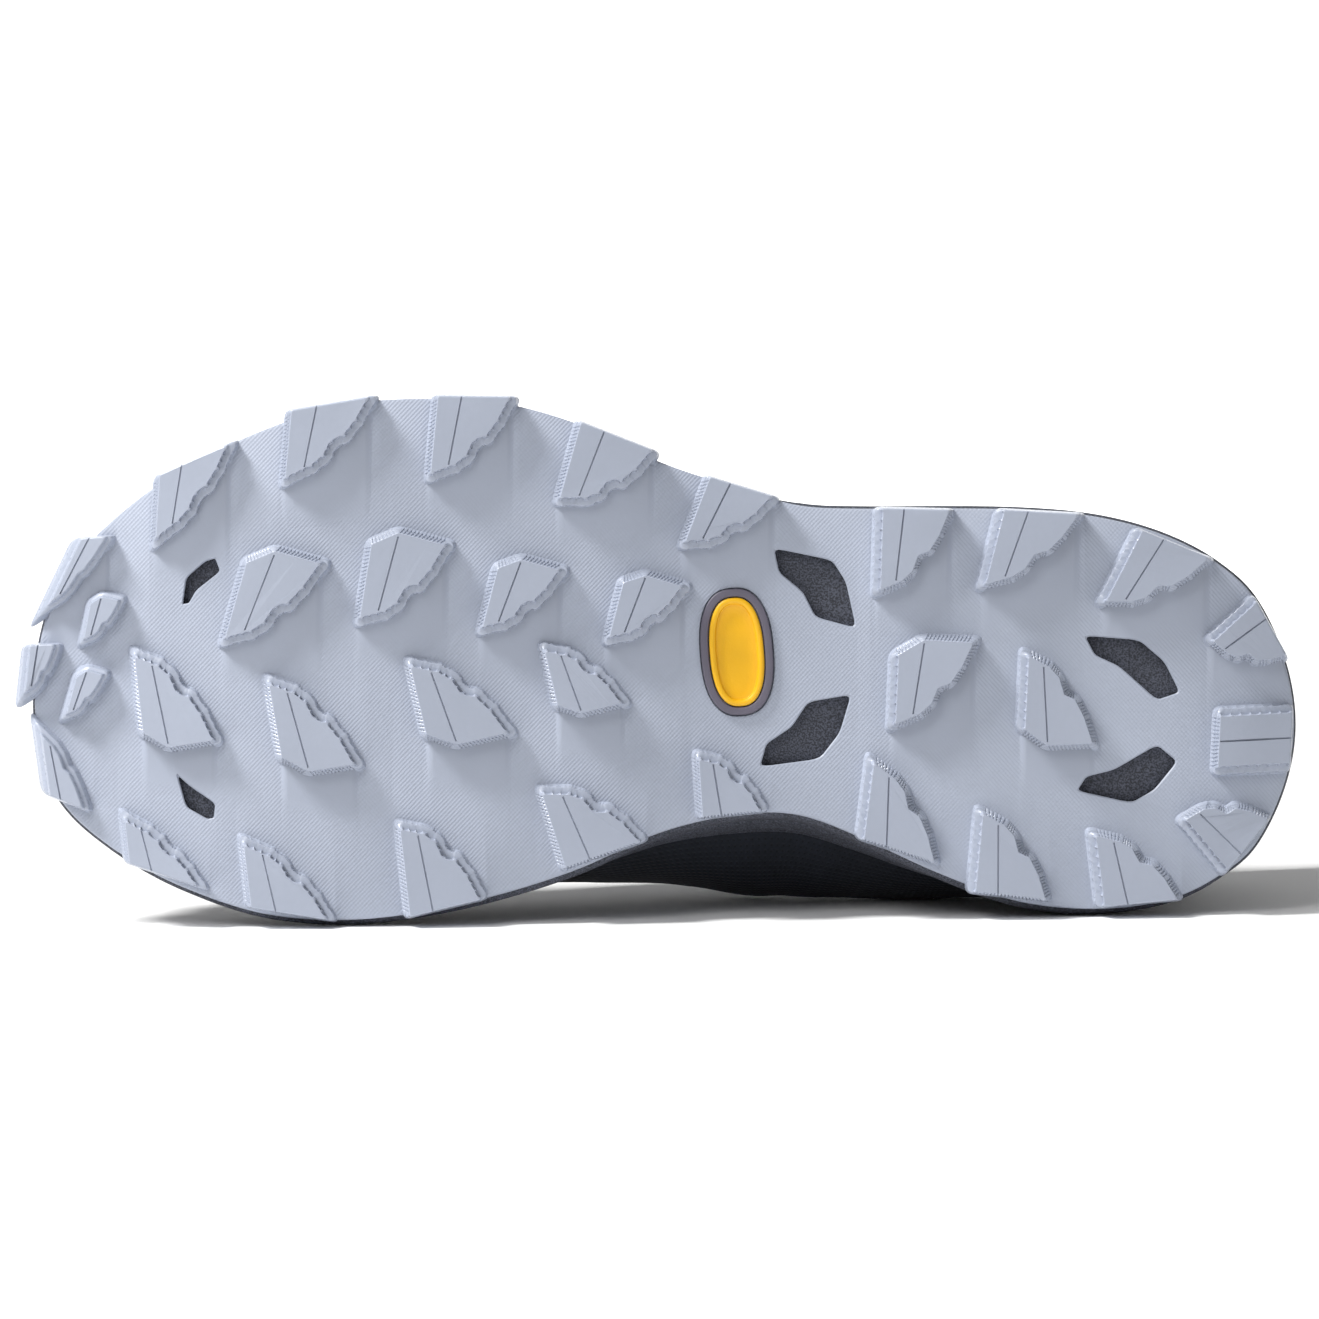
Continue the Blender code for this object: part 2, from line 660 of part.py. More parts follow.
def make_outsole(group, cutters):
    """The rubber sheet with its lugs joined on and its windows cut out."""
    chamfer = SHEET / 3.0
    rings = [
        level_ring(AROUND, lambda turn: chamfer, sheet_underside),
        level_ring(AROUND, lambda turn: 0.0, lambda x: sheet_underside(x) + chamfer),
        level_ring(AROUND, lambda turn: 0.0, lambda x: sheet_underside(x) + SHEET),
    ]
    outsole = add_object("outsole", ladder_solid("outsole", rings), "rubber", group)
    triangulate(outsole)
    lugs = [lug_mesh(row, BLADE, RIM_DRAFT) for row in EDGE_LUGS]
    lugs += [lug_mesh(row, INNER_BLADE, INNER_DRAFT, 2) for row in INNER_LUGS]
    lugs += [lug_mesh(row, BAR, RIM_DRAFT) for row in BAR_LUGS]
    combine(outsole, guide("lugs", joined_mesh("lugs", lugs), cutters), "UNION")
    windows = joined_mesh("windows", [window_mesh(row) for row in WINDOWS])
    combine(outsole, guide("windows", windows, cutters), "DIFFERENCE")
    pocket = [
        oval_ring(INLAY_LENGTH + 2 * FIT, INLAY_WIDTH + 2 * FIT, inlay_level(-LUG_DEPTH / 2)),
        oval_ring(INLAY_LENGTH + 2 * FIT, INLAY_WIDTH + 2 * FIT, inlay_level(INLAY_POCKET)),
    ]
    combine(outsole, guide("pocket", stack_mesh("pocket", pocket), cutters), "DIFFERENCE")
    return outsole


def make_midsole(group):
    """The foam, with the steps and ribs of its side and its level footbed."""
    rings = []
    for part, lean, relief in SIDE:
        ring = []
        for turn in turns(AROUND):
            inset = edge_inset(turn) * lean - RIB_DEPTH * relief
            x, y = plan_point(turn, inset)
            ring.append((x, y, foam_base(x) + (footbed(x) - foam_base(x)) * part))
        rings.append(ring)
    return add_object("midsole", ladder_solid("midsole", rings), "foam", group)


def foot_line(turn):
    """Where the upper's outer face stands on the midsole."""
    x, y = plan_point(turn, edge_inset(turn) + LEDGE)
    return np.array([x, y, footbed(x) + FIT])


def upper_point(turn, share):
    """A point of the upper's outer face, at a share of the section's curve."""
    turn = turn % 2.0
    edge_x, edge_y, of_heel, of_instep, swell, lift, drop, reach = [
        column(UPPER, turn, index) for index in range(1, 9)]
    foot = foot_line(turn)
    base = footbed(COLLAR_BASE * SOLE_LENGTH)
    edge = np.array([edge_x * SOLE_LENGTH, edge_y * BALL_WIDTH,
                     base + of_heel * HEEL_HEIGHT + of_instep * INSTEP_HEIGHT])
    climb = edge[2] - foot[2]
    low = foot + np.array([*(outward(turn) * swell * BALL_WIDTH), lift * climb])
    run = (foot - edge) * np.array([1.0, 1.0, 0.0])
    high = edge + run * reach - np.array([0.0, 0.0, drop * climb])
    rest = 1.0 - share
    return (rest ** 3 * foot + 3 * rest ** 2 * share * low
            + 3 * rest * share ** 2 * high + share ** 3 * edge)


def upper_normal(turn, share):
    """The unit normal that points out of the upper."""
    step = 0.004
    low, high = max(share - step, 0.0), min(share + step, 1.0)
    up = upper_point(turn, high) - upper_point(turn, low)
    along = upper_point(turn + step, share) - upper_point(turn - step, share)
    normal = np.cross(up, along)
    return normal / np.linalg.norm(normal)


def upper_skin(turn, share, offset):
    """A point at an offset out of the upper's outer face."""
    return upper_point(turn, share) + upper_normal(turn, share) * offset


def upper_band(name, first_ring, last_ring, inner, outer):
    """A closed shell between two rings and two offsets of the upper's outer face."""
    places = turns(UPPER_AROUND)
    rings = []
    for share in UPPER_RINGS[first_ring:last_ring + 1]:
        rings.append([upper_skin(turn, share, outer(turn, share)) for turn in places])
    for share in reversed(UPPER_RINGS[first_ring:last_ring + 1]):
        rings.append([upper_skin(turn, share, inner(turn, share)) for turn in places])
    return stack_mesh(name, rings, hollow=True)


def wall_at(turn, share):
    """The wall's thickness, which grows to the pad round the collar."""
    part = turn % 2.0
    part = min(part, 2.0 - part)
    collar = min(max((PAD_END - part) / PAD_FADE, 0.0), 1.0)
    edge = min(max((share - PAD_START) / PAD_GROWTH, 0.0), 1.0)
    lip = 1.0 - LIP_LOSS * max((share - LIP_START) / (1.0 - LIP_START), 0.0)
    return WALL + (COLLAR_PAD - WALL) * collar * edge * lip


def make_upper(group):
    """The hollow upper, open underneath, at the throat and at the collar."""
    last = len(UPPER_RINGS) - 1
    mesh = upper_band("upper", 0, last, lambda turn, share: -wall_at(turn, share),
                      lambda turn, share: 0.0)
    return add_object("upper", mesh, "mesh", group)


def wedge_mesh(name, corners, half_width):
    """A prism across the shoe through corners given as x and z."""
    count = len(corners)
    points = [(x, side * half_width, z) for side in (-1.0, 1.0) for x, z in corners]
    faces = [tuple(range(count)), tuple(range(count, 2 * count))]
    for i in range(count):
        j = (i + 1) % count
        faces.append((i, j, count + j, count + i))
    return mesh_from(name, points, faces)


def overlay_skin(name, last_ring):
    """A shell over the upper's lower part, for an overlay to be cut from."""
    return upper_band(name, 0, last_ring, lambda turn, share: FIT,
                      lambda turn, share: FIT + OVERLAY)


def foot_curve(start, end):
    """The line over the midsole where an overlay ends, as x and z from start to end."""
    places = np.linspace(start, end, 9)
    return [(x, footbed(min(max(x, 0.0), SOLE_LENGTH)) + 2.0 * FIT) for x in places]


def make_overlay(name, corners, group, cutters):
    """One overlay, cut from a shell over the upper by a prism with the given side view."""
    piece = add_object(name, overlay_skin(name, EYESTAY_RING), "overlay", group)
    triangulate(piece)
    cutter = wedge_mesh(name + "_cutter", corners, BALL_WIDTH)
    combine(piece, guide(name + "_cutter", cutter, cutters), "INTERSECT")


def make_overlays(group, cutters):
    """The toe cap and the heel counter."""
    beyond = TOE_CAP_EDGE[0][0] * SOLE_LENGTH
    start, top = TOE_CAP_END * SOLE_LENGTH, footbed(SOLE_LENGTH) + TOE_CAP_HEIGHT
    toe = [(SOLE_LENGTH * (1.0 + ahead), top + TOE_CAP_HEIGHT * over)
           for ahead, over in TOE_CAP_EDGE]
    make_overlay("toe_cap", toe + foot_curve(start, SOLE_LENGTH + beyond), group, cutters)
    end, low = COUNTER_END * SOLE_LENGTH, footbed(0.0)
    heel = [(end * along, low + COUNTER_HEIGHT * over) for along, over in COUNTER_EDGE]
    heel.append((-beyond, low + COUNTER_HEIGHT))
    make_overlay("heel_counter", foot_curve(-beyond, end) + heel, group, cutters)


def stay_turns():
    """The upper's turns from its lateral to its medial top eyelet."""
    places = turns(UPPER_AROUND)
    return [turn for turn in places if STAY_TOP <= turn <= 2.0 - STAY_TOP]


def make_eyestay(group):
    """The band round the throat that carries the eyelets."""
    shares = UPPER_RINGS[EYESTAY_RING:]
    places = stay_turns()
    sheets = []
    for offset in (FIT, FIT + OVERLAY):
        sheets.append([[upper_skin(turn, share, offset) for share in shares]
                       for turn in places])
    rows, columns = len(places), len(shares)
    points = [p for sheet in sheets for row in sheet for p in row]
    faces = []
    for sheet in range(2):
        base = sheet * rows * columns
        for i in range(rows - 1):
            for j in range(columns - 1):
                corner = base + i * columns + j
                faces.append((corner, corner + 1, corner + columns + 1, corner + columns))
    border = [j for j in range(columns)]
    border += [i * columns + columns - 1 for i in range(1, rows)]
    border += [(rows - 1) * columns + j for j in range(columns - 2, -1, -1)]
    border += [i * columns for i in range(rows - 2, 0, -1)]
    high = rows * columns
    for k, first in enumerate(border):
        second = border[(k + 1) % len(border)]
        faces.append((first, second, high + second, high + first))
    return add_object("eyestay", mesh_from("eyestay", points, faces), "overlay", group)


def make_insole(group):
    """The removable footbed inside the upper."""
    def inset(turn):
        return edge_inset(turn) + LEDGE + WALL + 4.0 * FIT
    rings = [level_ring(AROUND, inset, lambda x: footbed(x) + FIT),
             level_ring(AROUND, inset, lambda x: footbed(x) + FIT + INSOLE)]
    return add_object("insole", ladder_solid("insole", rings), "insole", group)


def throat_turn(part):
    """The lateral turn at a share of the throat, 0 at its front and 1 at the top eyelets."""
    return THROAT_FRONT + (THROAT_TOP - THROAT_FRONT) * part


def tongue_front():
    """The tongue's first row, which follows the inside of the vamp."""
    below = -(WALL + 2.0 * SOFT_FIT)
    reach = 1.0 - throat_turn(0.0)
    return [upper_skin(1.0 - reach * step, TUCK_SHARE, below)
            for step in (1.0, 0.8, 0.6, 0.3, 0.0, -0.3, -0.6, -0.8, -1.0)]


def tongue_row(part):
    """A row of the tongue's upper face, from the lateral to the medial wing."""
    turn = throat_turn(part)
    below = -(WALL + SOFT_FIT)
    wing = WING_SHARE + WING_RISE * max(2.0 * part - 1.0, 0.0)
    shares = (wing, (wing + 1.0) / 2.0, 1.0)
    lateral = [upper_skin(turn, share, below) for share in shares]
    medial = [upper_skin(2.0 - turn, share, below) for share in shares]
    crown = TONGUE_CROWN * min((part - 0.15) / 0.35, 1.0)
    bridge = []
    for step in (0.25, 0.5, 0.75):
        point = lateral[-1] * (1.0 - step) + medial[-1] * step
        point[2] += crown * 4.0 * step * (1.0 - step)
        bridge.append(point)
    return lateral + bridge + medial[::-1]


def make_tongue(group):
    """The padded tongue under the throat, standing over the top eyelets."""
    rows = [tongue_front()]
    rows += [tongue_row(k / TONGUE_ROWS) for k in range(TONGUE_ROWS + 1)]
    last, before = np.array(rows[-1]), np.array(rows[-2])
    way = (last - before).mean(axis=0)
    way /= np.linalg.norm(way)
    centre = last.mean(axis=0)
    for k in range(1, FREE_ROWS + 1):
        width = TONGUE_TOP - TONGUE_TAPER * k
        row = centre + (last - centre) * width + way * TONGUE_RISE * k / FREE_ROWS
        row[:, 2] += TONGUE_CURL * k
        rows.append(list(row))
    columns = len(rows[0])
    points = [p for row in rows for p in row]
    faces = []
    for i in range(len(rows) - 1):
        for j in range(columns - 1):
            corner = i * columns + j
            faces.append((corner, corner + columns, corner + columns + 1, corner + 1))
    mesh = bpy.data.meshes.new("tongue")
    mesh.from_pydata([tuple(p) for p in points], [], faces)
    tongue = add_object("tongue", mesh, "mesh", group)
    solid = tongue.modifiers.new("thickness", "SOLIDIFY")
    solid.thickness = TONGUE_THICKNESS
    solid.offset = -1.0
    return tongue


def eyelet_turn(index, lateral):
    """The turn of an eyelet, counted from the front of the throat."""
    turn = FIRST_EYELET + (TOP_EYELET - FIRST_EYELET) * index / (EYELETS - 1)
    return turn if lateral else 2.0 - turn


def make_eyelets(group):
    """Flat rings on the eyestay, a pair for each crossing of the lace."""
    for index in range(EYELETS):
        for side, lateral in (("lateral", True), ("medial", False)):
            turn = eyelet_turn(index, lateral)
            base = Vector(upper_skin(turn, EYELET_SHARE, EYELET_SEAT))
            normal = Vector(upper_normal(turn, EYELET_SHARE))
            spin = normal.to_track_quat("Z", "Y")
            rings = []
            for radius, level in ((EYELET_RADIUS, 0.0), (EYELET_RADIUS, EYELET_THICKNESS),
                                  (EYELET_BORE, EYELET_THICKNESS), (EYELET_BORE, 0.0)):
                ring = []
                for k in range(EYELET_AROUND):
                    angle = 2.0 * math.pi * k / EYELET_AROUND
                    local = Vector((radius * math.cos(angle), radius * math.sin(angle), level))
                    ring.append(base + spin @ local)
                rings.append(ring)
            name = "eyelet_%s_%d" % (side, index + 1)
            add_object(name, stack_mesh(name, rings, hollow=True), "eyelet", group)


def lace_anchor(index, lateral, lean, share):
    """A point of the lace over the eyestay, leaning along the throat by a share of its radius."""
    turn = eyelet_turn(index, lateral)
    height = EYELET_SEAT + EYELET_THICKNESS + LACE_FIT + LACE_RADIUS
    point = upper_skin(turn, share, height)
    ahead = upper_point(turn + (0.01 if lateral else -0.01), share)
    way = ahead - upper_point(turn, share)
    return point + way / np.linalg.norm(way) * lean * LACE_RADIUS


def lace_path():
    """The lace's middle line: down one way, across the front bar and back up the other."""
    path = [lace_anchor(EYELETS - 1, True, LACE_LEAN, EYELET_SHARE)]
    lateral = True
    legs = [(index, index - 1, 0.0) for index in range(EYELETS - 1, 0, -1)]
    legs += [(0, 0, 0.0)]
    legs += [(index, index + 1, 1.0) for index in range(EYELETS - 1)]
    for start, end, over in legs:
        leaving = LACE_LEAN * ((end < start) - (end > start))
        first = lace_anchor(start, lateral, leaving, EYELET_SHARE)
        first_edge = lace_anchor(start, lateral, leaving, LACE_EDGE_SHARE)
        second_edge = lace_anchor(end, not lateral, -leaving, LACE_EDGE_SHARE)
        second = lace_anchor(end, not lateral, -leaving, EYELET_SHARE)
        hump = (2.0 * LACE_RADIUS + LACE_FIT) * over
        leg = [first]
        for step, lift in LACE_STEPS:
            point = first_edge * (1.0 - step) + second_edge * step
            point[2] += hump * lift
            leg.append(point)
        leg.append(second)
        path += [point for point in leg if np.linalg.norm(point - path[-1]) > LACE_RADIUS / 2.0]
        lateral = not lateral
    return path


def make_lace(group):
    """The lace over the tongue, a tube whose crossings pass over each other."""
    path = lace_path()
    curve = bpy.data.curves.new("lace", "CURVE")
    curve.dimensions = "3D"
    curve.bevel_depth = LACE_RADIUS
    curve.bevel_resolution = 1
    curve.use_fill_caps = True
    spline = curve.splines.new("POLY")
    spline.points.add(len(path) - 1)
    for point, value in zip(spline.points, path):
        point.co = (*value, 1.0)
    return add_object("lace", curve, "lace", group)


def solid_data(piece):
    """Corners of a piece's evaluated mesh, its volume and its centre."""
    evaluated = piece.evaluated_get(bpy.context.evaluated_depsgraph_get())
    mesh = evaluated.to_mesh()
    mesh.calc_loop_triangles()
    points = np.empty(len(mesh.vertices) * 3)
    mesh.vertices.foreach_get("co", points)
    points = points.reshape(-1, 3)
    corners = np.empty(len(mesh.loop_triangles) * 3, dtype=np.int32)
    mesh.loop_triangles.foreach_get("vertices", corners)
    a, b, c = (points[corners.reshape(-1, 3)[:, k]] for k in range(3))
    parts = np.einsum("ij,ij->i", a, np.cross(b, c)) / 6.0
    volume = parts.sum()
    centre = (parts[:, None] * (a + b + c) / 4.0).sum(axis=0) / volume
    evaluated.to_mesh_clear()
    return points, volume, centre


def rest_direction(points, centre):
    """The way down when the shoe lies at rest on its medial side.

    The shoe rolls and yaws until its centre of mass lies as low as it can over the floor that
    its lowest corners touch.
    """
    offsets = points - centre
    best = np.zeros(2)
    span = 0.5

    def height(roll, yaw):
        down = np.array([yaw, -1.0, roll])
        return (offsets @ (down / np.linalg.norm(down))).max()

    while span > 1e-8:
        steps = np.linspace(-span, span, 9)
        tries = [(height(best[0] + u, best[1] + v), u, v) for u in steps for v in steps]
        _, u, v = min(tries)
        best = best + (u, v)
        span *= 0.5
    down = np.array([best[1], -1.0, best[0]])
    return down / np.linalg.norm(down)


def lay_down(group, cutters):
    """Lay the shoe on its side under an empty, with the origin on the floor below it."""
    bpy.context.view_layer.update()
    data = [solid_data(piece) for piece in group.objects]
    masses = [piece["density"] * volume
              for piece, (_, volume, _) in zip(group.objects, data)]
    centre = sum(mass * own for mass, (_, _, own) in zip(masses, data)) / sum(masses)
    points = np.vstack([corners for corners, _, _ in data])
    down = rest_direction(points, centre)
    up = -down
    right = np.array([-1.0, 0.0, 0.0])
    right -= up * (right @ up)
    right /= np.linalg.norm(right)
    turned = np.array([right, np.cross(up, right), up])
    laid = points @ turned.T
    low, high = laid.min(axis=0), laid.max(axis=0)
    shift = -np.array([(low[0] + high[0]) / 2.0, (low[1] + high[1]) / 2.0, low[2]])
    frame = bpy.data.objects.new("lying", None)
    group.objects.link(frame)
    matrix = Matrix([[*turned[row], shift[row]] for row in range(3)] + [[0, 0, 0, 1]])
    frame.matrix_world = matrix
    for piece in [*group.objects, *cutters.objects]:
        if piece is not frame:
            piece.parent = frame


def main():
    """Build the shoe."""
    clear_scene()
    shoe = new_collection("trail_running_shoe")
    cutters = new_collection("cutters")
    make_outsole(shoe, cutters)
    make_inlay(shoe)
    make_midsole(shoe)
    make_insole(shoe)
    make_upper(shoe)
    make_overlays(shoe, cutters)
    make_eyestay(shoe)
    make_tongue(shoe)
    make_eyelets(shoe)
    make_lace(shoe)
    lay_down(shoe, cutters)


main()
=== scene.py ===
"""Looks of a left trail running shoe that lies on its medial side.

The shoe is drawn in its own frame, as its source is: x runs from the heel to the toe, y points
to the lateral side and z points up from the faces of the lugs. A turn counts half turns round
the sole: 0 at the heel, 1 at the toe by way of the lateral side and 2 back at the heel. Each
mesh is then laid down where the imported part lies. Lengths are in metres.
"""
import json
import logging
import math
from dataclasses import dataclass, field
from enum import Enum, IntEnum
from typing import Any, Sequence

import bmesh
import bpy
import numpy as np
from mathutils import Matrix, Vector

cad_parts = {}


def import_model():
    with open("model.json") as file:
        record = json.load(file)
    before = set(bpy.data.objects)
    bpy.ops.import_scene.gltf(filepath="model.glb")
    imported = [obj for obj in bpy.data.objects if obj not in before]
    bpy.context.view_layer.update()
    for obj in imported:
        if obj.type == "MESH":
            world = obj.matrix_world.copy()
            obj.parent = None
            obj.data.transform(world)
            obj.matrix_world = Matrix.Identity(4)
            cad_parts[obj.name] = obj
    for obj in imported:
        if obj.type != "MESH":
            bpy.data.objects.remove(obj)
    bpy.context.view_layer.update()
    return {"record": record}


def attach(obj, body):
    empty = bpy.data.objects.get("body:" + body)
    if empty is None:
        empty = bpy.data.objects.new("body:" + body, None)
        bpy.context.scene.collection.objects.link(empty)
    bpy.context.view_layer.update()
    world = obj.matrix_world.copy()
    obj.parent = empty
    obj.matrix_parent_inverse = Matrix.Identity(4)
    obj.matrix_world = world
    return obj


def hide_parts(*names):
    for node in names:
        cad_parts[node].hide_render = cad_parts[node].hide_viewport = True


LOG = logging.getLogger("trail_running_shoe")
BODY = "root"

# The outline's half widths, as shares of the ball width, before the roundness of both ends
OUTLINE = (
    # station, lateral, medial
    (0.000, 0.660, 0.620),
    (0.028, 0.690, 0.670),
    (0.060, 0.640, 0.618),
    (0.092, 0.600, 0.578),
    (0.155, 0.539, 0.498),
    (0.218, 0.487, 0.423),
    (0.281, 0.447, 0.332),
    (0.344, 0.420, 0.244),
    (0.392, 0.413, 0.196),
    (0.439, 0.437, 0.193),
    (0.502, 0.482, 0.229),
    (0.566, 0.556, 0.303),
    (0.629, 0.611, 0.365),
    (0.692, 0.645, 0.422),
    (0.755, 0.675, 0.473),
    (0.818, 0.686, 0.514),
    (0.881, 0.700, 0.540),
    (0.945, 0.737, 0.581),
    (0.976, 0.815, 0.644),
    (1.000, 0.930, 0.800),
)

# The sheet's rise as a share of the toe spring, the foam as a share of the heel's foam, and how
# far the midsole's upper edge lies inside the outline, as shares of the ball width
SOLE = (
    # station, rise, foam, lateral_inset, medial_inset
    (0.00, 0.20, 0.96, 0.070, 0.070),
    (0.05, 0.05, 1.00, 0.062, 0.062),
    (0.10, 0.00, 1.00, 0.058, 0.056),
    (0.22, 0.00, 1.00, 0.046, 0.030),
    (0.33, 0.10, 0.97, 0.040, -0.026),
    (0.42, 0.13, 0.92, 0.040, -0.040),
    (0.50, 0.07, 0.86, 0.050, -0.026),
    (0.58, 0.00, 0.78, 0.066, 0.014),
    (0.70, 0.00, 0.70, 0.082, 0.046),
    (0.80, 0.13, 0.65, 0.080, 0.054),
    (0.90, 0.46, 0.60, 0.066, 0.052),
    (1.00, 1.00, 0.52, 0.046, 0.046),
)

# The midsole's side from its lower to its upper edge
SIDE = (
    # rise as a share of the foam, lean as a share of the inset, relief as a share of its depth
    (0.00, 0.00, 0.2),
    (0.10, 0.00, 1.0),
    (0.36, 0.10, 1.0),
    (0.43, 0.16, 0.1),
    (0.50, 0.24, 0.9),
    (0.74, 0.60, 0.9),
    (0.81, 0.72, 0.1),
    (1.00, 1.00, 0.1),
)

# How far the midsole's lower ribs stay back behind the outsole's edge
MIDSOLE_SHYNESS = (
    # turn, depth
    (0.00, 0.0007),
    (0.43, 0.0007),
    (0.46, 0.0017),
    (0.84, 0.0017),
    (0.88, 0.0007),
    (1.15, 0.0007),
    (1.30, 0.0003),
    (1.42, 0.0000),
    (1.70, 0.0000),
    (1.85, 0.0006),
    (2.00, 0.0007),
)

# The upper's sections, each a curve from the midsole to the upper's edge at the collar or throat
SECTIONS = (
    # turn, then the edge: x of the length, y of the ball width, z of heel and instep height,
    # then the curve: swell of the ball width, lift and drop of the rise, reach of the run
    (0.000, 0.036, -0.022, 1.00, 0.00, 0.060, 0.36, 0.30, -0.20),
    (0.080, 0.044, 0.090, 0.99, 0.00, 0.056, 0.36, 0.30, -0.10),
    (0.160, 0.078, 0.176, 0.95, 0.00, 0.046, 0.36, 0.32, 0.10),
    (0.240, 0.128, 0.232, 0.85, 0.00, 0.036, 0.36, 0.34, 0.25),
    (0.320, 0.196, 0.268, 0.77, 0.00, 0.026, 0.36, 0.36, 0.30),
    (0.390, 0.270, 0.276, 0.80, 0.00, 0.026, 0.36, 0.36, 0.40),
    (0.450, 0.340, 0.232, 0.60, 0.35, 0.040, 0.36, 0.30, 0.50),
    (0.500, 0.396, 0.150, 0.05, 0.95, 0.060, 0.38, 0.26, 0.55),
    (0.560, 0.452, 0.124, 0.00, 0.89, 0.050, 0.40, 0.26, 0.55),
    (0.630, 0.520, 0.112, 0.00, 0.76, 0.030, 0.42, 0.24, 0.55),
    (0.710, 0.588, 0.100, 0.00, 0.64, 0.016, 0.46, 0.20, 0.55),
    (0.800, 0.636, 0.074, 0.00, 0.56, 0.014, 0.52, 0.16, 0.52),
    (0.900, 0.656, 0.038, 0.00, 0.53, 0.014, 0.58, 0.12, 0.50),
    (1.000, 0.662, 0.000, 0.00, 0.52, 0.014, 0.60, 0.10, 0.50),
    (1.100, 0.656, -0.038, 0.00, 0.53, 0.014, 0.58, 0.12, 0.50),
    (1.200, 0.636, -0.074, 0.00, 0.56, 0.014, 0.52, 0.16, 0.52),
    (1.290, 0.588, -0.100, 0.00, 0.64, 0.020, 0.46, 0.20, 0.55),
    (1.370, 0.520, -0.112, 0.00, 0.76, 0.045, 0.40, 0.22, 0.60),
    (1.440, 0.452, -0.124, 0.00, 0.89, 0.115, 0.38, 0.28, 0.72),
    (1.500, 0.396, -0.150, 0.05, 0.95, 0.240, 0.36, 0.34, 0.96),
    (1.550, 0.340, -0.236, 0.62, 0.37, 0.310, 0.36, 0.38, 1.30),
    (1.610, 0.270, -0.282, 0.86, 0.00, 0.220, 0.36, 0.42, 1.50),
    (1.680, 0.196, -0.280, 0.82, 0.00, 0.105, 0.36, 0.42, 0.80),
    (1.760, 0.128, -0.252, 0.87, 0.00, 0.050, 0.36, 0.36, 0.35),
    (1.840, 0.078, -0.204, 0.95, 0.00, 0.050, 0.36, 0.32, 0.10),
    (1.920, 0.044, -0.124, 0.99, 0.00, 0.056, 0.36, 0.30, -0.10),
    (2.000, 0.036, -0.022, 1.00, 0.00, 0.060, 0.36, 0.30, -0.20),
)

# A blade lug's face. Along runs from its front to its back corner on the outer edge, and out
# runs up its straight front edge.
BLADE = (
    # along, out
    (0.00, 1.00),
    (1.00, 1.00),
    (0.86, 0.69),
    (0.72, 0.49),
    (0.56, 0.44),
    (0.48, 0.24),
    (0.33, 0.12),
    (0.00, 0.00),
)
INNER_BLADE = ((-0.02, 0.88), (0.32, 1.06)) + BLADE[1:]
BAR = ((0.00, 1.00), (1.00, 1.00), (1.00, 0.00), (0.00, 0.00))
BLADE_SIPE = ((0.33, 1.01), (0.24, 0.13))
BAR_SIPE = ((0.5, 1.02), (0.5, 0.02))

# Lugs by three corners of the face: inner front, outer front and outer back, each as its station
# along the length and its distance from the axis in shares of the ball width
EDGE_LUGS = (
    # name, inner station, inner y, front station, front y, back station, back y
    ("lateral_1", 0.987, 0.205, 0.962, 0.329, 0.941, 0.333),
    ("lateral_2", 0.902, 0.327, 0.899, 0.451, 0.844, 0.509),
    ("lateral_3", 0.799, 0.442, 0.794, 0.574, 0.732, 0.599),
    ("lateral_4", 0.684, 0.450, 0.678, 0.601, 0.620, 0.599),
    ("lateral_5", 0.582, 0.404, 0.565, 0.551, 0.508, 0.497),
    ("lateral_6", 0.483, 0.321, 0.463, 0.446, 0.413, 0.409),
    ("medial_1", 0.927, -0.210, 0.923, -0.295, 0.868, -0.339),
    ("medial_2", 0.832, -0.256, 0.826, -0.379, 0.765, -0.402),
    ("medial_3", 0.708, -0.226, 0.700, -0.396, 0.644, -0.363),
    ("medial_4", 0.596, -0.159, 0.577, -0.304, 0.517, -0.253),
    ("medial_5", 0.472, -0.092, 0.469, -0.207, 0.422, -0.195),
    ("toe_front", 1.007, 0.033, 1.003, 0.124, 0.983, 0.126),
    ("toe_medial", 0.994, -0.048, 0.987, -0.165, 0.960, -0.191),
    ("heel_medial_1", 0.334, -0.099, 0.342, -0.249, 0.285, -0.293),
    ("heel_medial_2", 0.248, -0.197, 0.254, -0.350, 0.197, -0.365),
    ("heel_medial_3", 0.159, -0.239, 0.152, -0.377, 0.093, -0.363),
    ("heel_medial_4", 0.088, -0.210, 0.054, -0.308, 0.021, -0.210),
    ("heel_lateral_1", 0.329, 0.228, 0.327, 0.386, 0.273, 0.383),
    ("heel_lateral_2", 0.246, 0.239, 0.231, 0.383, 0.171, 0.375),
    ("heel_lateral_3", 0.151, 0.207, 0.122, 0.344, 0.068, 0.291),
    ("heel_lateral_4", 0.066, 0.132, 0.031, 0.209, 0.007, 0.105),
)
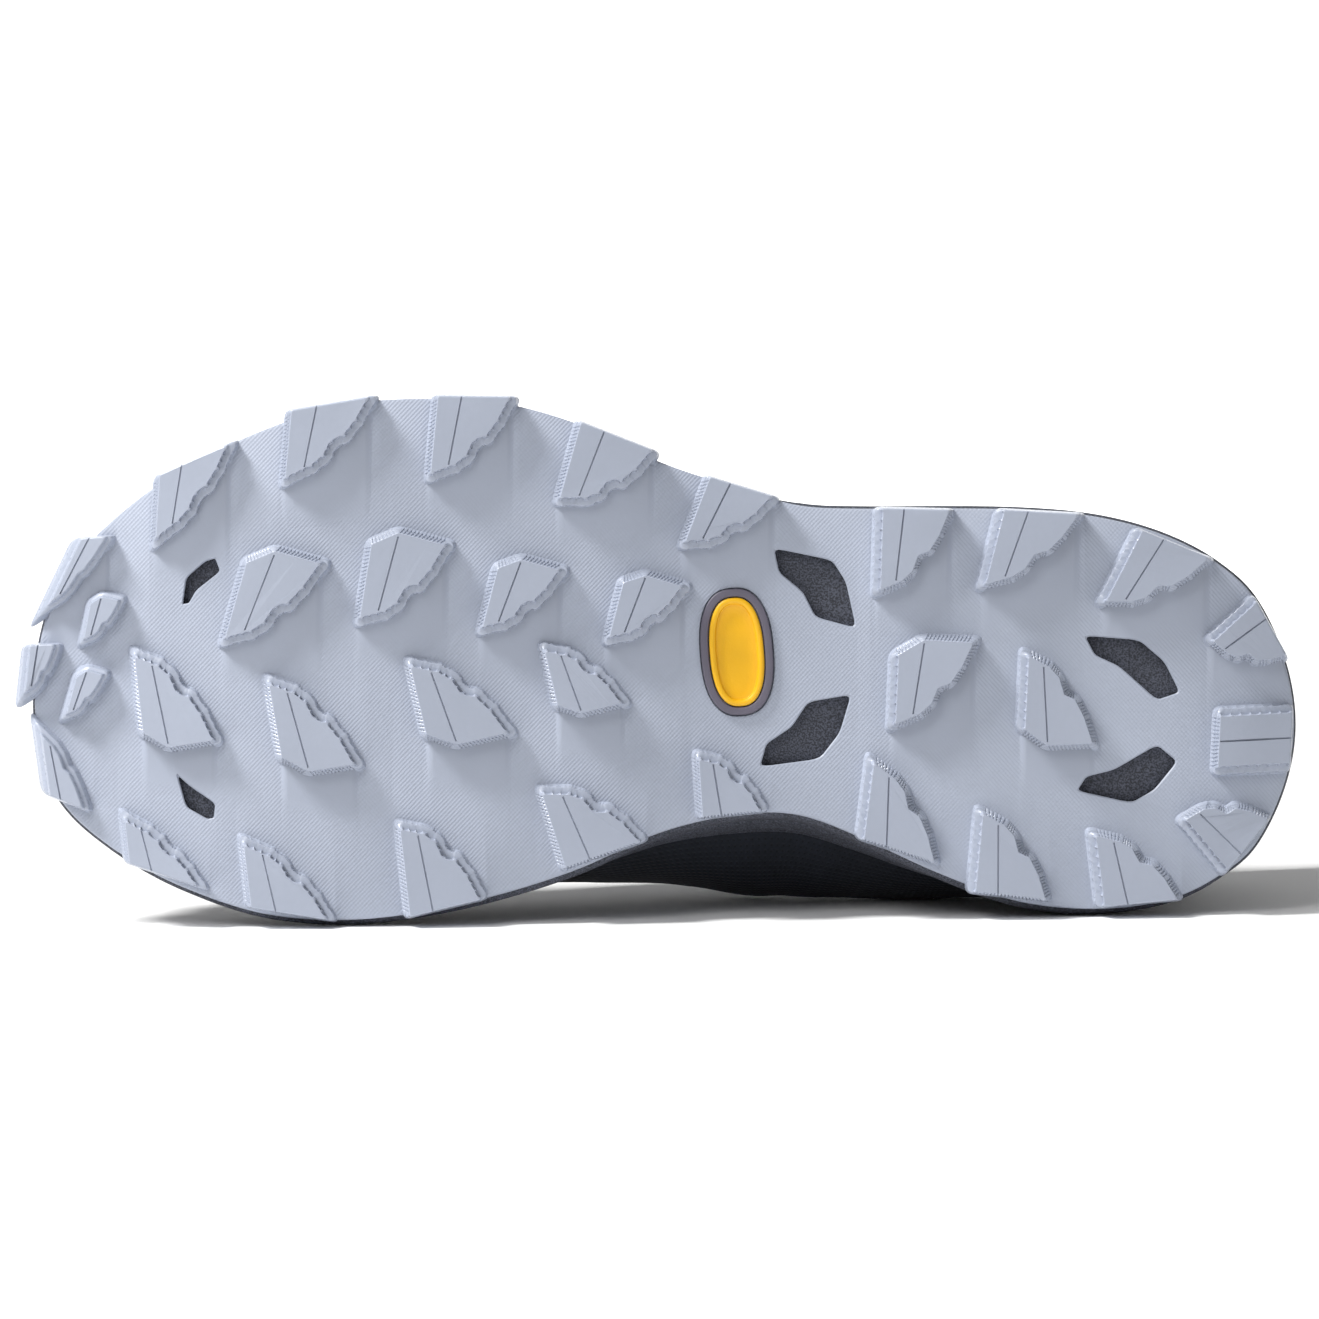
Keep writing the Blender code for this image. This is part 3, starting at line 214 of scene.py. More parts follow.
INNER_LUGS = (
    ("toe_lateral", 0.960, 0.134, 0.953, 0.214, 0.931, 0.210),
    ("toe_middle", 0.974, -0.010, 0.964, 0.073, 0.944, 0.067),
    ("inner_lateral_1", 0.847, 0.136, 0.826, 0.302, 0.770, 0.281),
    ("inner_lateral_2", 0.740, 0.174, 0.728, 0.337, 0.671, 0.316),
    ("inner_lateral_3", 0.643, 0.157, 0.628, 0.287, 0.581, 0.268),
    ("inner_lateral_4", 0.543, 0.138, 0.529, 0.258, 0.484, 0.237),
    ("inner_medial_1", 0.919, 0.105, 0.910, -0.065, 0.855, -0.059),
    ("inner_medial_2", 0.812, 0.052, 0.799, -0.111, 0.743, -0.105),
    ("inner_medial_3", 0.700, 0.086, 0.684, -0.065, 0.622, -0.044),
    ("inner_medial_4", 0.594, 0.115, 0.581, -0.006, 0.532, 0.013),
    ("heel_inner_1", 0.317, -0.029, 0.313, 0.124, 0.254, 0.130),
    ("heel_inner_2", 0.212, 0.105, 0.214, -0.057, 0.160, -0.065),
)
TOOTHED_LUGS = ("medial_4", "medial_5", "heel_medial_1", "heel_medial_2")
BAR_LUG = ("heel_end", 0.060, -0.010, 0.002, -0.003, 0.004, -0.104)

# Windows cut in the sheet, by their corners: station and share of the ball width
WINDOWS = (
    ((0.855, 0.291), (0.851, 0.266), (0.870, 0.230), (0.876, 0.205), (0.881, 0.203),
     (0.878, 0.254), (0.863, 0.285)),
    ((0.885, -0.126), (0.875, -0.147), (0.855, -0.180), (0.856, -0.207), (0.861, -0.210),
     (0.878, -0.187)),
    ((0.412, 0.310), (0.366, 0.287), (0.355, 0.245), (0.347, 0.157), (0.379, 0.178),
     (0.389, 0.226), (0.408, 0.264)),
    ((0.351, 0.029), (0.385, 0.015), (0.398, -0.033), (0.418, -0.065), (0.423, -0.109),
     (0.376, -0.094), (0.360, -0.044)),
    ((0.166, 0.142), (0.123, 0.134), (0.103, 0.092), (0.091, 0.034), (0.109, 0.019),
     (0.139, 0.084), (0.158, 0.105)),
    ((0.109, -0.067), (0.093, -0.099), (0.111, -0.153), (0.129, -0.178), (0.172, -0.155),
     (0.165, -0.128), (0.143, -0.115)),
)

# Creases across the vamp, where the ball of the foot bends it
FLEX_CREASES = (
    # station, slant, depth, width, lowest share, highest share
    (0.742, 0.10, 0.00050, 0.0032, 0.30, 0.92),
    (0.708, 0.16, 0.00042, 0.0030, 0.34, 0.90),
    (0.778, 0.04, 0.00030, 0.0036, 0.26, 0.94),
)
# Hollows below the ankle, at the waist, over the heel and where the upper touches the floor, and
# ridges at the arch and in front of the throat
SIDE_CREASES = (
    # turn, share, spread in turns, spread in shares, height
    (0.405, 0.66, 0.030, 0.10, -0.00080),
    (0.452, 0.58, 0.020, 0.14, -0.00060),
    (0.300, 0.60, 0.050, 0.07, -0.00050),
    (1.590, 0.74, 0.026, 0.07, -0.00050),
    (1.588, 0.33, 0.024, 0.22, 0.00180),
    (1.645, 0.36, 0.030, 0.20, -0.00036),
    (1.700, 0.60, 0.050, 0.07, -0.00050),
    (0.600, 0.40, 0.060, 0.10, -0.00050),
    (0.520, 0.30, 0.040, 0.10, 0.00050),
    (1.400, 0.40, 0.060, 0.10, -0.00050),
    (0.000, 0.70, 0.060, 0.12, -0.00060),
)

# The line that a toe cap's film ends at
CAP_LINE = (
    # station, drop below the cap's top as a share of its height
    (0.80, 0.62),
    (0.86, 0.36),
    (0.93, 0.15),
    (1.10, -0.10),
)
# The line that the heel counter ends at
COUNTER_LINE = (
    # share of its length, share of its height
    (0.15, 0.99),
    (0.30, 0.93),
    (0.45, 0.74),
    (0.60, 0.50),
    (0.82, 0.22),
)
# The lace between two eyelets
CROSSING = (
    # share of the way, height over it, share of the hump
    (0.10, -0.0006, 0.00),
    (0.28, 0.0018, 0.45),
    (0.43, 0.0028, 1.00),
    (0.57, 0.0030, 1.00),
    (0.74, 0.0030, 0.40),
)

Point = Sequence[float]
Array = np.ndarray


class Side(Enum):
    """The two sides of the shoe."""

    LATERAL = "lateral"
    MEDIAL = "medial"

    def turn(self, lateral_turn: float) -> float:
        """The turn on this side that mirrors a lateral turn."""
        return lateral_turn if self is Side.LATERAL else 2.0 - lateral_turn

    @property
    def other(self) -> "Side":
        """The side across the shoe."""
        return Side.MEDIAL if self is Side.LATERAL else Side.LATERAL


class Flank(Enum):
    """The kinds of flank that a lug has."""

    SCALLOPED = "scalloped"
    CUBED = "cubed"
    STEPPED = "stepped"
    RIM = "rim"
    TOOTHED = "toothed"


@dataclass(frozen=True)
class FlankShape:
    """How a kind of flank goes from the lug's face to its root.

    Each level has its depth as a share of the lug's, its reach as a share of the draft and the
    depth of its bites, which shift by half a pitch from one level on.
    """

    draft: float
    pitch: float
    stops: tuple[tuple[float, float], ...]
    depths: tuple[float, ...]
    reaches: tuple[float, ...]
    bites: tuple[float, ...] = (0.0,) * 9
    shifted: int = 9

    def level(self, index: int) -> tuple[float, float, float, float]:
        """Depth, reach, bite and the shift of the bites at a level."""
        shift = 0.5 if index >= self.shifted else 0.0
        return self.depths[index], self.reaches[index], self.bites[index], shift

    def run(self, length: float, phase: float) -> tuple[Array, Array]:
        """Where a side of the flank has points, and how far each is bitten.

        Args:
            length: the side's length.
            phase: shift of the bites as a share of the pitch.

        Returns:
            The places along the side from 0 to 1, and the bites from 0 to 1.
        """
        count = max(round(length / self.pitch), 1)
        at, cut = np.array(self.stops).T
        places = (np.arange(count)[:, None] + at[None, :]).ravel() / count
        bites = np.interp((at + phase) % 1.0, np.append(at, 1.0), np.append(cut, cut[0]))
        bites = np.tile(bites, count) * fade(np.minimum(places, 1.0 - places) * length, 0.0,
                                             0.35 * self.pitch if phase else 0.00001)
        return places, bites


def read_column(table: Sequence[Point], places: Array, index: int, smooth: bool = True) -> Array:
    """Read a table's column between its rows.

    Args:
        table: rows that start with their place.
        places: where the column is read.
        index: the column.
        smooth: take each slope from both neighbours, and otherwise keep to the rows' values.

    Returns:
        The column's value at each place.
    """
    at = np.array([row[0] for row in table])
    values = np.array([row[index] for row in table])
    step = np.diff(values) / np.diff(at)
    slopes = np.concatenate([step[:1], np.zeros(len(at) - 2), step[-1:]])
    if smooth:
        slopes[1:-1] = (values[2:] - values[:-2]) / (at[2:] - at[:-2])
    else:
        rising = step[:-1] * step[1:] > 0.0
        total = np.where(rising, step[:-1] + step[1:], 1.0)
        slopes[1:-1] = np.where(rising, 2.0 * step[:-1] * step[1:] / total, 0.0)
    places = np.clip(places, at[0], at[-1])
    i = np.clip(np.searchsorted(at, places) - 1, 0, len(at) - 2)
    width = at[i + 1] - at[i]
    s = (places - at[i]) / width
    return ((1 + 2 * s) * (1 - s) ** 2 * values[i] + s * (1 - s) ** 2 * width * slopes[i]
            + s * s * (3 - 2 * s) * values[i + 1] + s * s * (s - 1) * width * slopes[i + 1])


def fade(values: Array, start: float, end: float) -> Array:
    """A soft rise from 0 at start to 1 at end.

    Args:
        values: where it is read.
        start: the last place with 0.
        end: the first place with 1.

    Returns:
        The rise at each value.
    """
    s = np.clip((np.asarray(values, float) - start) / (end - start), 0.0, 1.0)
    return s * s * (3.0 - 2.0 * s)


def unit(vectors: Array) -> Array:
    """The vectors at length 1."""
    return vectors / np.linalg.norm(vectors, axis=-1, keepdims=True)


def winding(corners: Array) -> float:
    """1 for corners that run anticlockwise, and otherwise -1."""
    after = np.roll(corners, -1, axis=0)
    return math.copysign(1.0, np.sum(corners[:, 0] * after[:, 1] - after[:, 0] * corners[:, 1]))


def circle(count: int) -> tuple[Array, Array]:
    """Cosines and sines of even steps round a circle."""
    angle = np.arange(count) * 2.0 * np.pi / count
    return np.cos(angle), np.sin(angle)


def bulge(values: Array, power: float) -> Array:
    """The values raised to a power, each with its own sign."""
    return np.sign(values) * np.abs(values) ** power


def whole_round(count: int) -> Array:
    """Even turns once round the sole."""
    return np.arange(count) * 2.0 / count


def halves(turns: Array) -> tuple[Array, Array]:
    """Which turns are lateral, and how far each is from the heel to the toe."""
    cycle = np.asarray(turns, float) % 2.0
    return cycle <= 1.0, np.minimum(cycle, 2.0 - cycle)


ARC_STOPS = ((0.0, 0.0), (0.08, 0.55), (0.22, 0.86), (0.38, 0.98), (0.54, 1.0), (0.70, 0.95),
             (0.84, 0.78), (0.94, 0.45))
GROOVE_STOPS = ((0.0, 0.0), (0.10, 1.0), (0.42, 1.0), (0.52, 0.0))
PLAIN_STOPS = ((0.0, 0.0), (0.5, 0.0))
STEP_DEPTHS = (0.0, 0.05, 0.14, 0.42, 0.48, 0.53, 0.62, 0.9, 1.0)
RIM_REACHES = (-0.7, 0.0, 0.1, 0.3, 0.45, 0.55, 0.65, 0.92, 1.0)
FLANKS = {
    Flank.SCALLOPED: FlankShape(
        0.0021, 0.0023, ARC_STOPS, (0.0, 0.04, 0.12, 0.44, 0.47, 0.5, 0.58, 0.9, 1.0),
        (-0.13, 0.0, 0.04, 0.18, 0.66, 0.8, 0.86, 0.94, 1.04),
        (0.00012, 0.0003, 0.00046, 0.00052, 0.00012, 0.00024, 0.0003, 0.00026, 0.00004), 4),
    Flank.CUBED: FlankShape(
        0.0015, 0.00095, GROOVE_STOPS, (0.0, 0.04, 0.28, 0.32, 0.56, 0.6, 0.86, 0.92, 1.0),
        (-0.14, 0.0, 0.06, 0.34, 0.4, 0.68, 0.76, 0.98, 1.08),
        (0.0, 0.00006, *(0.0003,) * 5, 0.00012, 0.0)),
    Flank.STEPPED: FlankShape(0.0021, 0.002, PLAIN_STOPS, STEP_DEPTHS,
                              (-0.13, 0.0, 0.05, 0.22, 0.56, 0.66, 0.72, 0.92, 1.06)),
    Flank.RIM: FlankShape(0.0004, 0.002, PLAIN_STOPS, STEP_DEPTHS, RIM_REACHES),
    Flank.TOOTHED: FlankShape(0.0004, 0.0009, GROOVE_STOPS, STEP_DEPTHS, RIM_REACHES,
                              (0.0002, *(0.00034,) * 7, 0.0003)),
}
LAST_LEVEL = len(STEP_DEPTHS) - 1


def round_corners(corners: Array, share: float, steps: int) -> Array:
    """Round each corner of a closed line.

    Args:
        corners: the line's corners.
        share: how much of each side a corner takes.
        steps: points of each rounded corner.

    Returns:
        The rounded line's points.
    """
    rounded = []
    for i, corner in enumerate(corners):
        before = corner + (corners[i - 1] - corner) * share
        after = corner + (corners[(i + 1) % len(corners)] - corner) * share
        for s in np.linspace(0.0, 1.0, steps):
            rounded.append((1 - s) ** 2 * before + 2 * s * (1 - s) * corner + s * s * after)
    return np.array(rounded)


@dataclass(frozen=True)
class SolePlan:
    """The sole's outline and heights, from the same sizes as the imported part."""

    length: float = 0.2955
    ball_width: float = 0.122
    heel_swing: float = -0.0033
    toe_swing: float = 0.0017
    toe_spring: float = 0.0150
    sheet: float = 0.0022
    lug_depth: float = 0.0048
    heel_foam: float = 0.0235
    fit: float = 0.0003
    turn_step: float = 0.002
    mount_spot: tuple[float, float] = (0.3, 0.6)

    def stations(self, turns: Array) -> Array:
        """The stations of the length at turns."""
        return (1.0 - np.cos(np.pi * turns)) / 2.0

    def outline(self, turns: Array) -> Array:
        """Points of the sheet's outline.

        Args:
            turns: where they lie.

        Returns:
            Their x and y.
        """
        lateral, part = halves(turns)
        station = self.stations(part)
        table = [(math.acos(1.0 - 2.0 * row[0]) / math.pi, *row[1:]) for row in OUTLINE]
        share = np.where(lateral, read_column(table, part, 1), read_column(table, part, 2))
        half = share * self.ball_width * np.sin(np.pi * part)
        middle = self.heel_swing + (self.toe_swing - self.heel_swing) * station
        return np.stack([station * self.length, middle + np.where(lateral, half, -half)], -1)

    def outward(self, turns: Array) -> Array:
        """The level unit vectors that point out of the outline at turns."""
        run = self.outline(turns + self.turn_step) - self.outline(turns - self.turn_step)
        return unit(np.stack([-run[..., 1], run[..., 0]], -1))

    def inset(self, turns: Array, depth: Array | float) -> Array:
        """Points of the outline moved in.

        Args:
            turns: where they lie.
            depth: how far they move in.

        Returns:
            Their x and y.
        """
        return self.outline(turns) - self.outward(turns) * np.reshape(depth, (-1, 1))

    def read(self, x: Array, index: int) -> Array:
        """A column of the sole's table at lengths from the heel."""
        return read_column(SOLE, np.asarray(x, float) / self.length, index, smooth=False)

    def rise(self, x: Array) -> Array:
        """Height of the lugs' faces."""
        return self.read(x, 1) * self.toe_spring

    def underside(self, x: Array) -> Array:
        """Height of the sheet between the lugs."""
        return self.rise(x) + self.lug_depth

    def foam_base(self, x: Array) -> Array:
        """Height of the midsole's underside."""
        return self.underside(x) + self.sheet + self.fit

    def footbed(self, x: Array) -> Array:
        """Height of the midsole's top."""
        return self.foam_base(x) + self.read(x, 2) * self.heel_foam

    def edge_inset(self, turns: Array) -> Array:
        """How far the midsole's upper edge lies inside the outline at turns."""
        lateral, part = halves(turns)
        x = self.stations(part) * self.length
        return np.where(lateral, self.read(x, 3), self.read(x, 4)) * self.ball_width

    def place(self, station: float, across: float) -> Array:
        """The point at a station and a share of the ball width from the axis."""
        return np.array([station * self.length, across * self.ball_width])

    def corners(self, row: Sequence[Any]) -> list[Array]:
        """The inner, front and back corner that a lug's row holds."""
        return [self.place(*row[k:k + 2]) for k in (1, 3, 5)]

    def lug_points(self, row: Sequence[Any], places: Sequence[Point]) -> Array:
        """Points of a lug's face.

        Args:
            row: the lug's name and three corners.
            places: each as its shares of the way along the outer edge and out to it.

        Returns:
            Their x and y.
        """
        inner, front, back = self.corners(row)
        return np.array([inner + (back - front) * along + (front - inner) * out
                         for along, out in places])


@dataclass(frozen=True)
class UpperForm:
    """The upper's outer face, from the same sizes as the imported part."""

    plan: SolePlan = field(default_factory=SolePlan)
    heel_height: float = 0.0700
    instep_height: float = 0.0790
    ledge: float = 0.0012
    wall: float = 0.0024
    collar_pad: float = 0.0062
    step: float = 0.004
    collar_end: float = 0.44
    collar_start: float = 0.62
    lip_start: float = 0.92
    lip_taper: float = 0.35
    crest_share: float = 0.88
    crest_spread: float = 0.075
    crest_ends: tuple[float, float] = (0.36, 0.46)
    crest_height: float = 0.0009
    fold_height: float = 0.6

    def sections(self, turns: Array) -> list[Array]:
        """The four points that each section's curve follows, from the midsole to the edge."""
        turns = np.asarray(turns, float)
        cycle = turns % 2.0
        edge_x, edge_y, of_heel, of_instep, swell, lift, drop, reach = (
            read_column(SECTIONS, cycle, index) for index in range(1, 9))
        plan = self.plan
        flat = plan.inset(turns, plan.edge_inset(turns) + self.ledge)
        foot = np.column_stack([flat, plan.footbed(flat[:, 0]) + plan.fit])
        base = plan.footbed(0.15 * plan.length)
        edge = np.column_stack([edge_x * plan.length, edge_y * plan.ball_width,
                                base + of_heel * self.heel_height
                                + of_instep * self.instep_height])
        climb = edge[:, 2] - foot[:, 2]
        low = foot + np.column_stack([plan.outward(turns) * (swell * plan.ball_width)[:, None],
                                      lift * climb])
        run = (foot - edge) * np.array([1.0, 1.0, 0.0])
        high = edge + run * reach[:, None]
        high[:, 2] -= drop * climb
        return [foot, low, high, edge]

    def points(self, turns: Array, shares: Array) -> Array:
        """Points of the outer face.

        Args:
            turns: one for each section.
            shares: of the sections' curves, the same for all or a row for each section.

        Returns:
            An array of sections by shares by 3.
        """
        foot, low, high, edge = (p[:, None, :] for p in self.sections(turns))
        s = np.broadcast_to(shares, (len(foot), np.shape(shares)[-1]))[..., None]
        rest = 1.0 - s
        return (rest ** 3 * foot + 3 * rest ** 2 * s * low + 3 * rest * s ** 2 * high
                + s ** 3 * edge)

    def normals(self, turns: Array, shares: Array) -> Array:
        """Unit normals out of the outer face, for the same arguments as points."""
        turns = np.asarray(turns, float)
        step = self.step
        up = (self.points(turns, np.minimum(shares + step, 1.0))
              - self.points(turns, np.maximum(np.asarray(shares) - step, 0.0)))
        along = self.points(turns + step, shares) - self.points(turns - step, shares)
        return unit(np.cross(up, along))

    def skin(self, turns: Array, shares: Array, offsets: Array | float) -> Array:
        """Points at offsets out of the outer face.

        Args:
            turns: one for each section.
            shares: of the sections' curves.
            offsets: one, or one for each point.

        Returns:
            An array of sections by shares by 3.
        """
        offsets = np.asarray(offsets, float)
        lifted = offsets[..., None] if offsets.ndim else offsets
        return self.points(turns, shares) + self.normals(turns, shares) * lifted

    def spot(self, turn: float, share: float, offset: float) -> Array:
        """One point at an offset out of the outer face."""
        return self.skin(np.array([turn]), np.array([share]), offset)[0, 0]

    def walls(self, turns: Array, shares: Array) -> Array:
        """The wall's thickness at turns by shares, which grows to the pad of the collar."""
        part = halves(turns)[1][:, None]
        collar = np.clip((self.collar_end - part) / 0.08, 0.0, 1.0)
        edge = np.clip((shares - self.collar_start) / 0.25, 0.0, 1.0)
        lip = 1.0 - self.lip_taper * np.clip((shares - self.lip_start) / 0.08, 0.0, 1.0)
        return self.wall + (self.collar_pad - self.wall) * collar * edge * lip

    def creases(self, turns: Array, shares: Array) -> Array:
        """Soft troughs and ridges of the outer face, placed one by one, at turns by shares."""
        place = self.points(turns, shares)
        x, y = place[..., 0], place[..., 1]
        relief = np.zeros(x.shape)
        for station, slant, depth, width, low, high in FLEX_CREASES:
            run = x - station * self.plan.length - slant * y
            over = fade(shares, low, low + 0.15) * (1.0 - fade(shares, high, high + 0.12))
            relief -= depth * np.exp(-(run / width) ** 2) * over
            fold = np.exp(-((run - 1.9 * width) / (1.3 * width)) ** 2)
            relief += self.fold_height * depth * fold * over
        cycle = np.asarray(turns, float)[:, None] % 2.0
        for turn, share, spread, height, depth in SIDE_CREASES:
            away = ((cycle - turn) / spread) ** 2 + ((shares - share) / height) ** 2
            relief += depth * np.exp(-away)
        part = halves(turns)[1][:, None]
        crest = np.exp(-((shares - self.crest_share) / self.crest_spread) ** 2)
        return relief + self.crest_height * ((1.0 - fade(part, *self.crest_ends)) * crest)


class MeshDraft:
    """Points, faces and weave coordinates gathered before a mesh is made."""

    def __init__(self) -> None:
        """Start empty."""
        self.points: list[Array] = []
        self.faces: list[tuple[int, ...]] = []
        self.slots: list[int] = []
        self.weave: list[tuple[float, float]] = []
        self.count = 0

    def add_points(self, points: Array) -> int:
        """Add points and return the first one's index."""
        first = self.count
        self.points.append(np.asarray(points, float).reshape(-1, 3))
        self.count += len(self.points[-1])
        return first

    def add_face(self, corners: Sequence[int], slot: int = 0,
                 weave: Sequence[tuple[float, float]] | None = None) -> None:
        """Add a face.

        Args:
            corners: indices of its points.
            slot: its material slot.
            weave: weave coordinates of its corners.
        """
        self.faces.append(tuple(corners))
        self.slots.append(slot)
        self.weave.extend(weave or [(0.0, 0.0)] * len(corners))

    def add_grid(self, grid: Array, closed_rows: bool = False, closed_columns: bool = False,
                 slots: Sequence[int] | None = None) -> int:
        """Add a sheet of quads, whose weave coordinates are lengths on it.

        Args:
            grid: rows by columns by 3.
            closed_rows: join the last row to the first.
            closed_columns: join the last column to the first.
            slots: a material slot for each column of quads.

        Returns:
            The first point's index.
        """
        rows, columns = grid.shape[:2]
        first = self.add_points(grid)
        down = np.linalg.norm(np.diff(grid, axis=0, append=grid[:1]), axis=2).mean(axis=1)
        across = np.linalg.norm(np.diff(grid, axis=1, append=grid[:, :1]), axis=2).mean(axis=0)
        u, v = (np.concatenate([[0.0], np.cumsum(run)]) for run in (down, across))
        for i in range(rows if closed_rows else rows - 1):
            low, high = first + i * columns, first + (i + 1) % rows * columns
            for j in range(columns if closed_columns else columns - 1):
                k = (j + 1) % columns
                self.add_face((low + j, low + k, high + k, high + j), slots[j] if slots else 0,
                              ((u[i], v[j]), (u[i], v[j + 1]), (u[i + 1], v[j + 1]),
                               (u[i + 1], v[j])))
        return first

    def add_tube(self, grid: Array, slots: Sequence[int] | None = None) -> None:
        """Add a closed body of rings, which are the grid's rows, with both ends capped."""
        rows, columns = grid.shape[:2]
        first = self.add_grid(grid, closed_columns=True, slots=slots)
        self.add_face(range(first, first + columns))
        self.add_face(range(first + (rows - 1) * columns, first + rows * columns))

    def add_slab(self, rings: Sequence[Array]) -> None:
        """Add a body of level rings that start at the heel, with rungs across both ends."""
        columns = len(rings[0])
        first = self.add_grid(np.array(rings), closed_columns=True)
        for start in (first, first + (len(rings) - 1) * columns):
            for i in range(columns // 2):
                corners = (i, i + 1, columns - i - 1, (columns - i) % columns)
                self.add_face([start + k for k in dict.fromkeys(corners)])

    def paint(self, slot: int) -> "MeshDraft":
        """Give every face one material slot."""
        self.slots = [slot] * len(self.slots)
        return self

    def build(self, name: str) -> bpy.types.Mesh:
        """Make the mesh, with its normals out and its weave coordinates.

        Args:
            name: the mesh's name.

        Returns:
            The mesh.
        """
        mesh = bpy.data.meshes.new(name)
        mesh.from_pydata(np.concatenate(self.points).tolist(), [], self.faces)
        mesh.polygons.foreach_set("material_index", self.slots)
        layer = mesh.uv_layers.new(name="weave")
        layer.data.foreach_set("uv", np.array(self.weave, np.float32).ravel())
        shape = bmesh.new()
        shape.from_mesh(mesh)
        bmesh.ops.recalc_face_normals(shape, faces=shape.faces)
        shape.to_mesh(mesh)
        shape.free()
        return mesh


def link(name: str, data: Any) -> bpy.types.Object:
    """Add an object to the scene."""
    thing = bpy.data.objects.new(name, data)
    bpy.context.scene.collection.objects.link(thing)
    return thing


def spend(*things: bpy.types.Object) -> bpy.types.Mesh:
    """Take the mesh that the first object's modifiers make, and remove all the objects."""
    bpy.context.view_layer.update()
    evaluated = things[0].evaluated_get(bpy.context.evaluated_depsgraph_get())
    made = bpy.data.meshes.new_from_object(evaluated)
    for thing in things:
        mesh = thing.data
        bpy.data.objects.remove(thing)
        bpy.data.meshes.remove(mesh)
    return made


def carve(mesh: bpy.types.Mesh, tool: bpy.types.Mesh, operation: str) -> bpy.types.Mesh:
    """Join a mesh with another or cut the other out of it.

    Args:
        mesh: the body.
        tool: what is joined or cut out. Both meshes are used up.
        operation: UNION or DIFFERENCE.

    Returns:
        The new mesh.
    """
    body, cutter = link("carve", mesh), link("carve_tool", tool)
    modifier = body.modifiers.new("carve", "BOOLEAN")
    modifier.operation, modifier.solver, modifier.object = operation, "MANIFOLD", cutter
    return spend(body, cutter)


class Graph:
    """A material's nodes, with short ways to add and join them."""

    def __init__(self, name: str, colour: Point, roughness: float) -> None:
        """Start a material.

        Args:
            name: its name.
            colour: its base colour.
            roughness: its roughness.
        """
        self.material = bpy.data.materials.new(name)
        self.material.use_nodes = True
        self.material.diffuse_color = (*colour, 1.0)
        self.tree = self.material.node_tree
        self.shader = self.tree.nodes["Principled BSDF"]
        self.set("Base Color", (*colour, 1.0))
        self.set("Roughness", roughness)

    def set(self, socket: str, value: Any) -> None:
        """Give one of the shader's sockets a value, or link it."""
        if isinstance(value, bpy.types.NodeSocket):
            self.tree.links.new(value, self.shader.inputs[socket])
        else:
            self.shader.inputs[socket].default_value = value

    def add(self, kind: str, values: dict[Any, Any], **settings: Any) -> bpy.types.Node:
        """Add a node.

        Args:
            kind: the node's type.
            values: its sockets' values or links.
            settings: its properties.

        Returns:
            The node.
        """
        node = self.tree.nodes.new(kind)
        for key, setting in settings.items():
            setattr(node, key, setting)
        for key, value in values.items():
            if isinstance(value, bpy.types.NodeSocket):
                self.tree.links.new(value, node.inputs[key])
            else:
                node.inputs[key].default_value = value
        return node

    def math(self, operation: str, *values: Any) -> bpy.types.NodeSocket:
        """The result of a Math node."""
        return self.add("ShaderNodeMath", dict(enumerate(values)),
                        operation=operation).outputs[0]

    def shoe_place(self, lying: Matrix) -> bpy.types.NodeSocket:
        """The place in the shoe's own frame, for a piece that lies where the shoe lies."""
        back = lying.inverted()
        coordinates = self.tree.nodes.new("ShaderNodeTexCoord").outputs["Object"]
        return self.add("ShaderNodeMapping", {
            "Vector": coordinates, "Location": back.translation,
            "Rotation": back.to_euler()}).outputs[0]

    def weave_place(self) -> bpy.types.NodeSocket:
        """The place in the piece's weave coordinates."""
        return self.add("ShaderNodeUVMap", {}, uv_map="weave").outputs[0]

    def noise(self, place: bpy.types.NodeSocket, size: float,
              detail: float = 2.0) -> bpy.types.NodeSocket:
        """Noise from 0 to 1 whose features have a size in metres."""
        return self.add("ShaderNodeTexNoise", {
            "Vector": place, "Scale": 1.0 / size, "Detail": detail}).outputs[0]

    def stripes(self, place: bpy.types.NodeSocket, way: Point,
                pitch: float) -> bpy.types.NodeSocket:
        """Round stripes from 0 to 1.

        Args:
            place: where they are read.
            way: the direction across them.
            pitch: the distance from one to the next.

        Returns:
            Their height.
        """
        scaled = [2.0 * math.pi * part / pitch for part in (*way, 0.0)]
        run = self.add("ShaderNodeVectorMath", {0: place, 1: scaled},
                       operation="DOT_PRODUCT").outputs["Value"]
        return self.math("MULTIPLY_ADD", self.math("SINE", run), 0.5, 0.5)

    def spread(self, value: bpy.types.NodeSocket, low: float, high: float,
               to_low: float = 0.0, to_high: float = 1.0) -> bpy.types.NodeSocket:
        """A value taken from one range to another and held inside it."""
        return self.add("ShaderNodeMapRange", {
            "Value": value, "From Min": low, "From Max": high, "To Min": to_low,
            "To Max": to_high}).outputs[0]

    def blend(self, share: Any, first: Any, second: Any) -> bpy.types.NodeSocket:
        """A colour between two, by a share."""
        node = self.tree.nodes.new("ShaderNodeMix")
        node.data_type = "RGBA"
        for index, value in ((0, share), (6, first), (7, second)):
            if isinstance(value, bpy.types.NodeSocket):
                self.tree.links.new(value, node.inputs[index])
            else:
                node.inputs[index].default_value = value if index == 0 else (*value, 1.0)
        return node.outputs[2]

    def relief(self, height: bpy.types.NodeSocket, depth: float,
               below: bpy.types.NodeSocket | None = None) -> bpy.types.NodeSocket:
        """A bump of a real depth over another one."""
        values: dict[Any, Any] = {"Height": height, "Distance": depth, "Strength": 1.0}
        if below is not None:
            values["Normal"] = below
        return self.add("ShaderNodeBump", values).outputs[0]


def tint(colour: Point, share: float) -> tuple[float, ...]:
    """A colour times a share."""
    return tuple(part * share for part in colour)


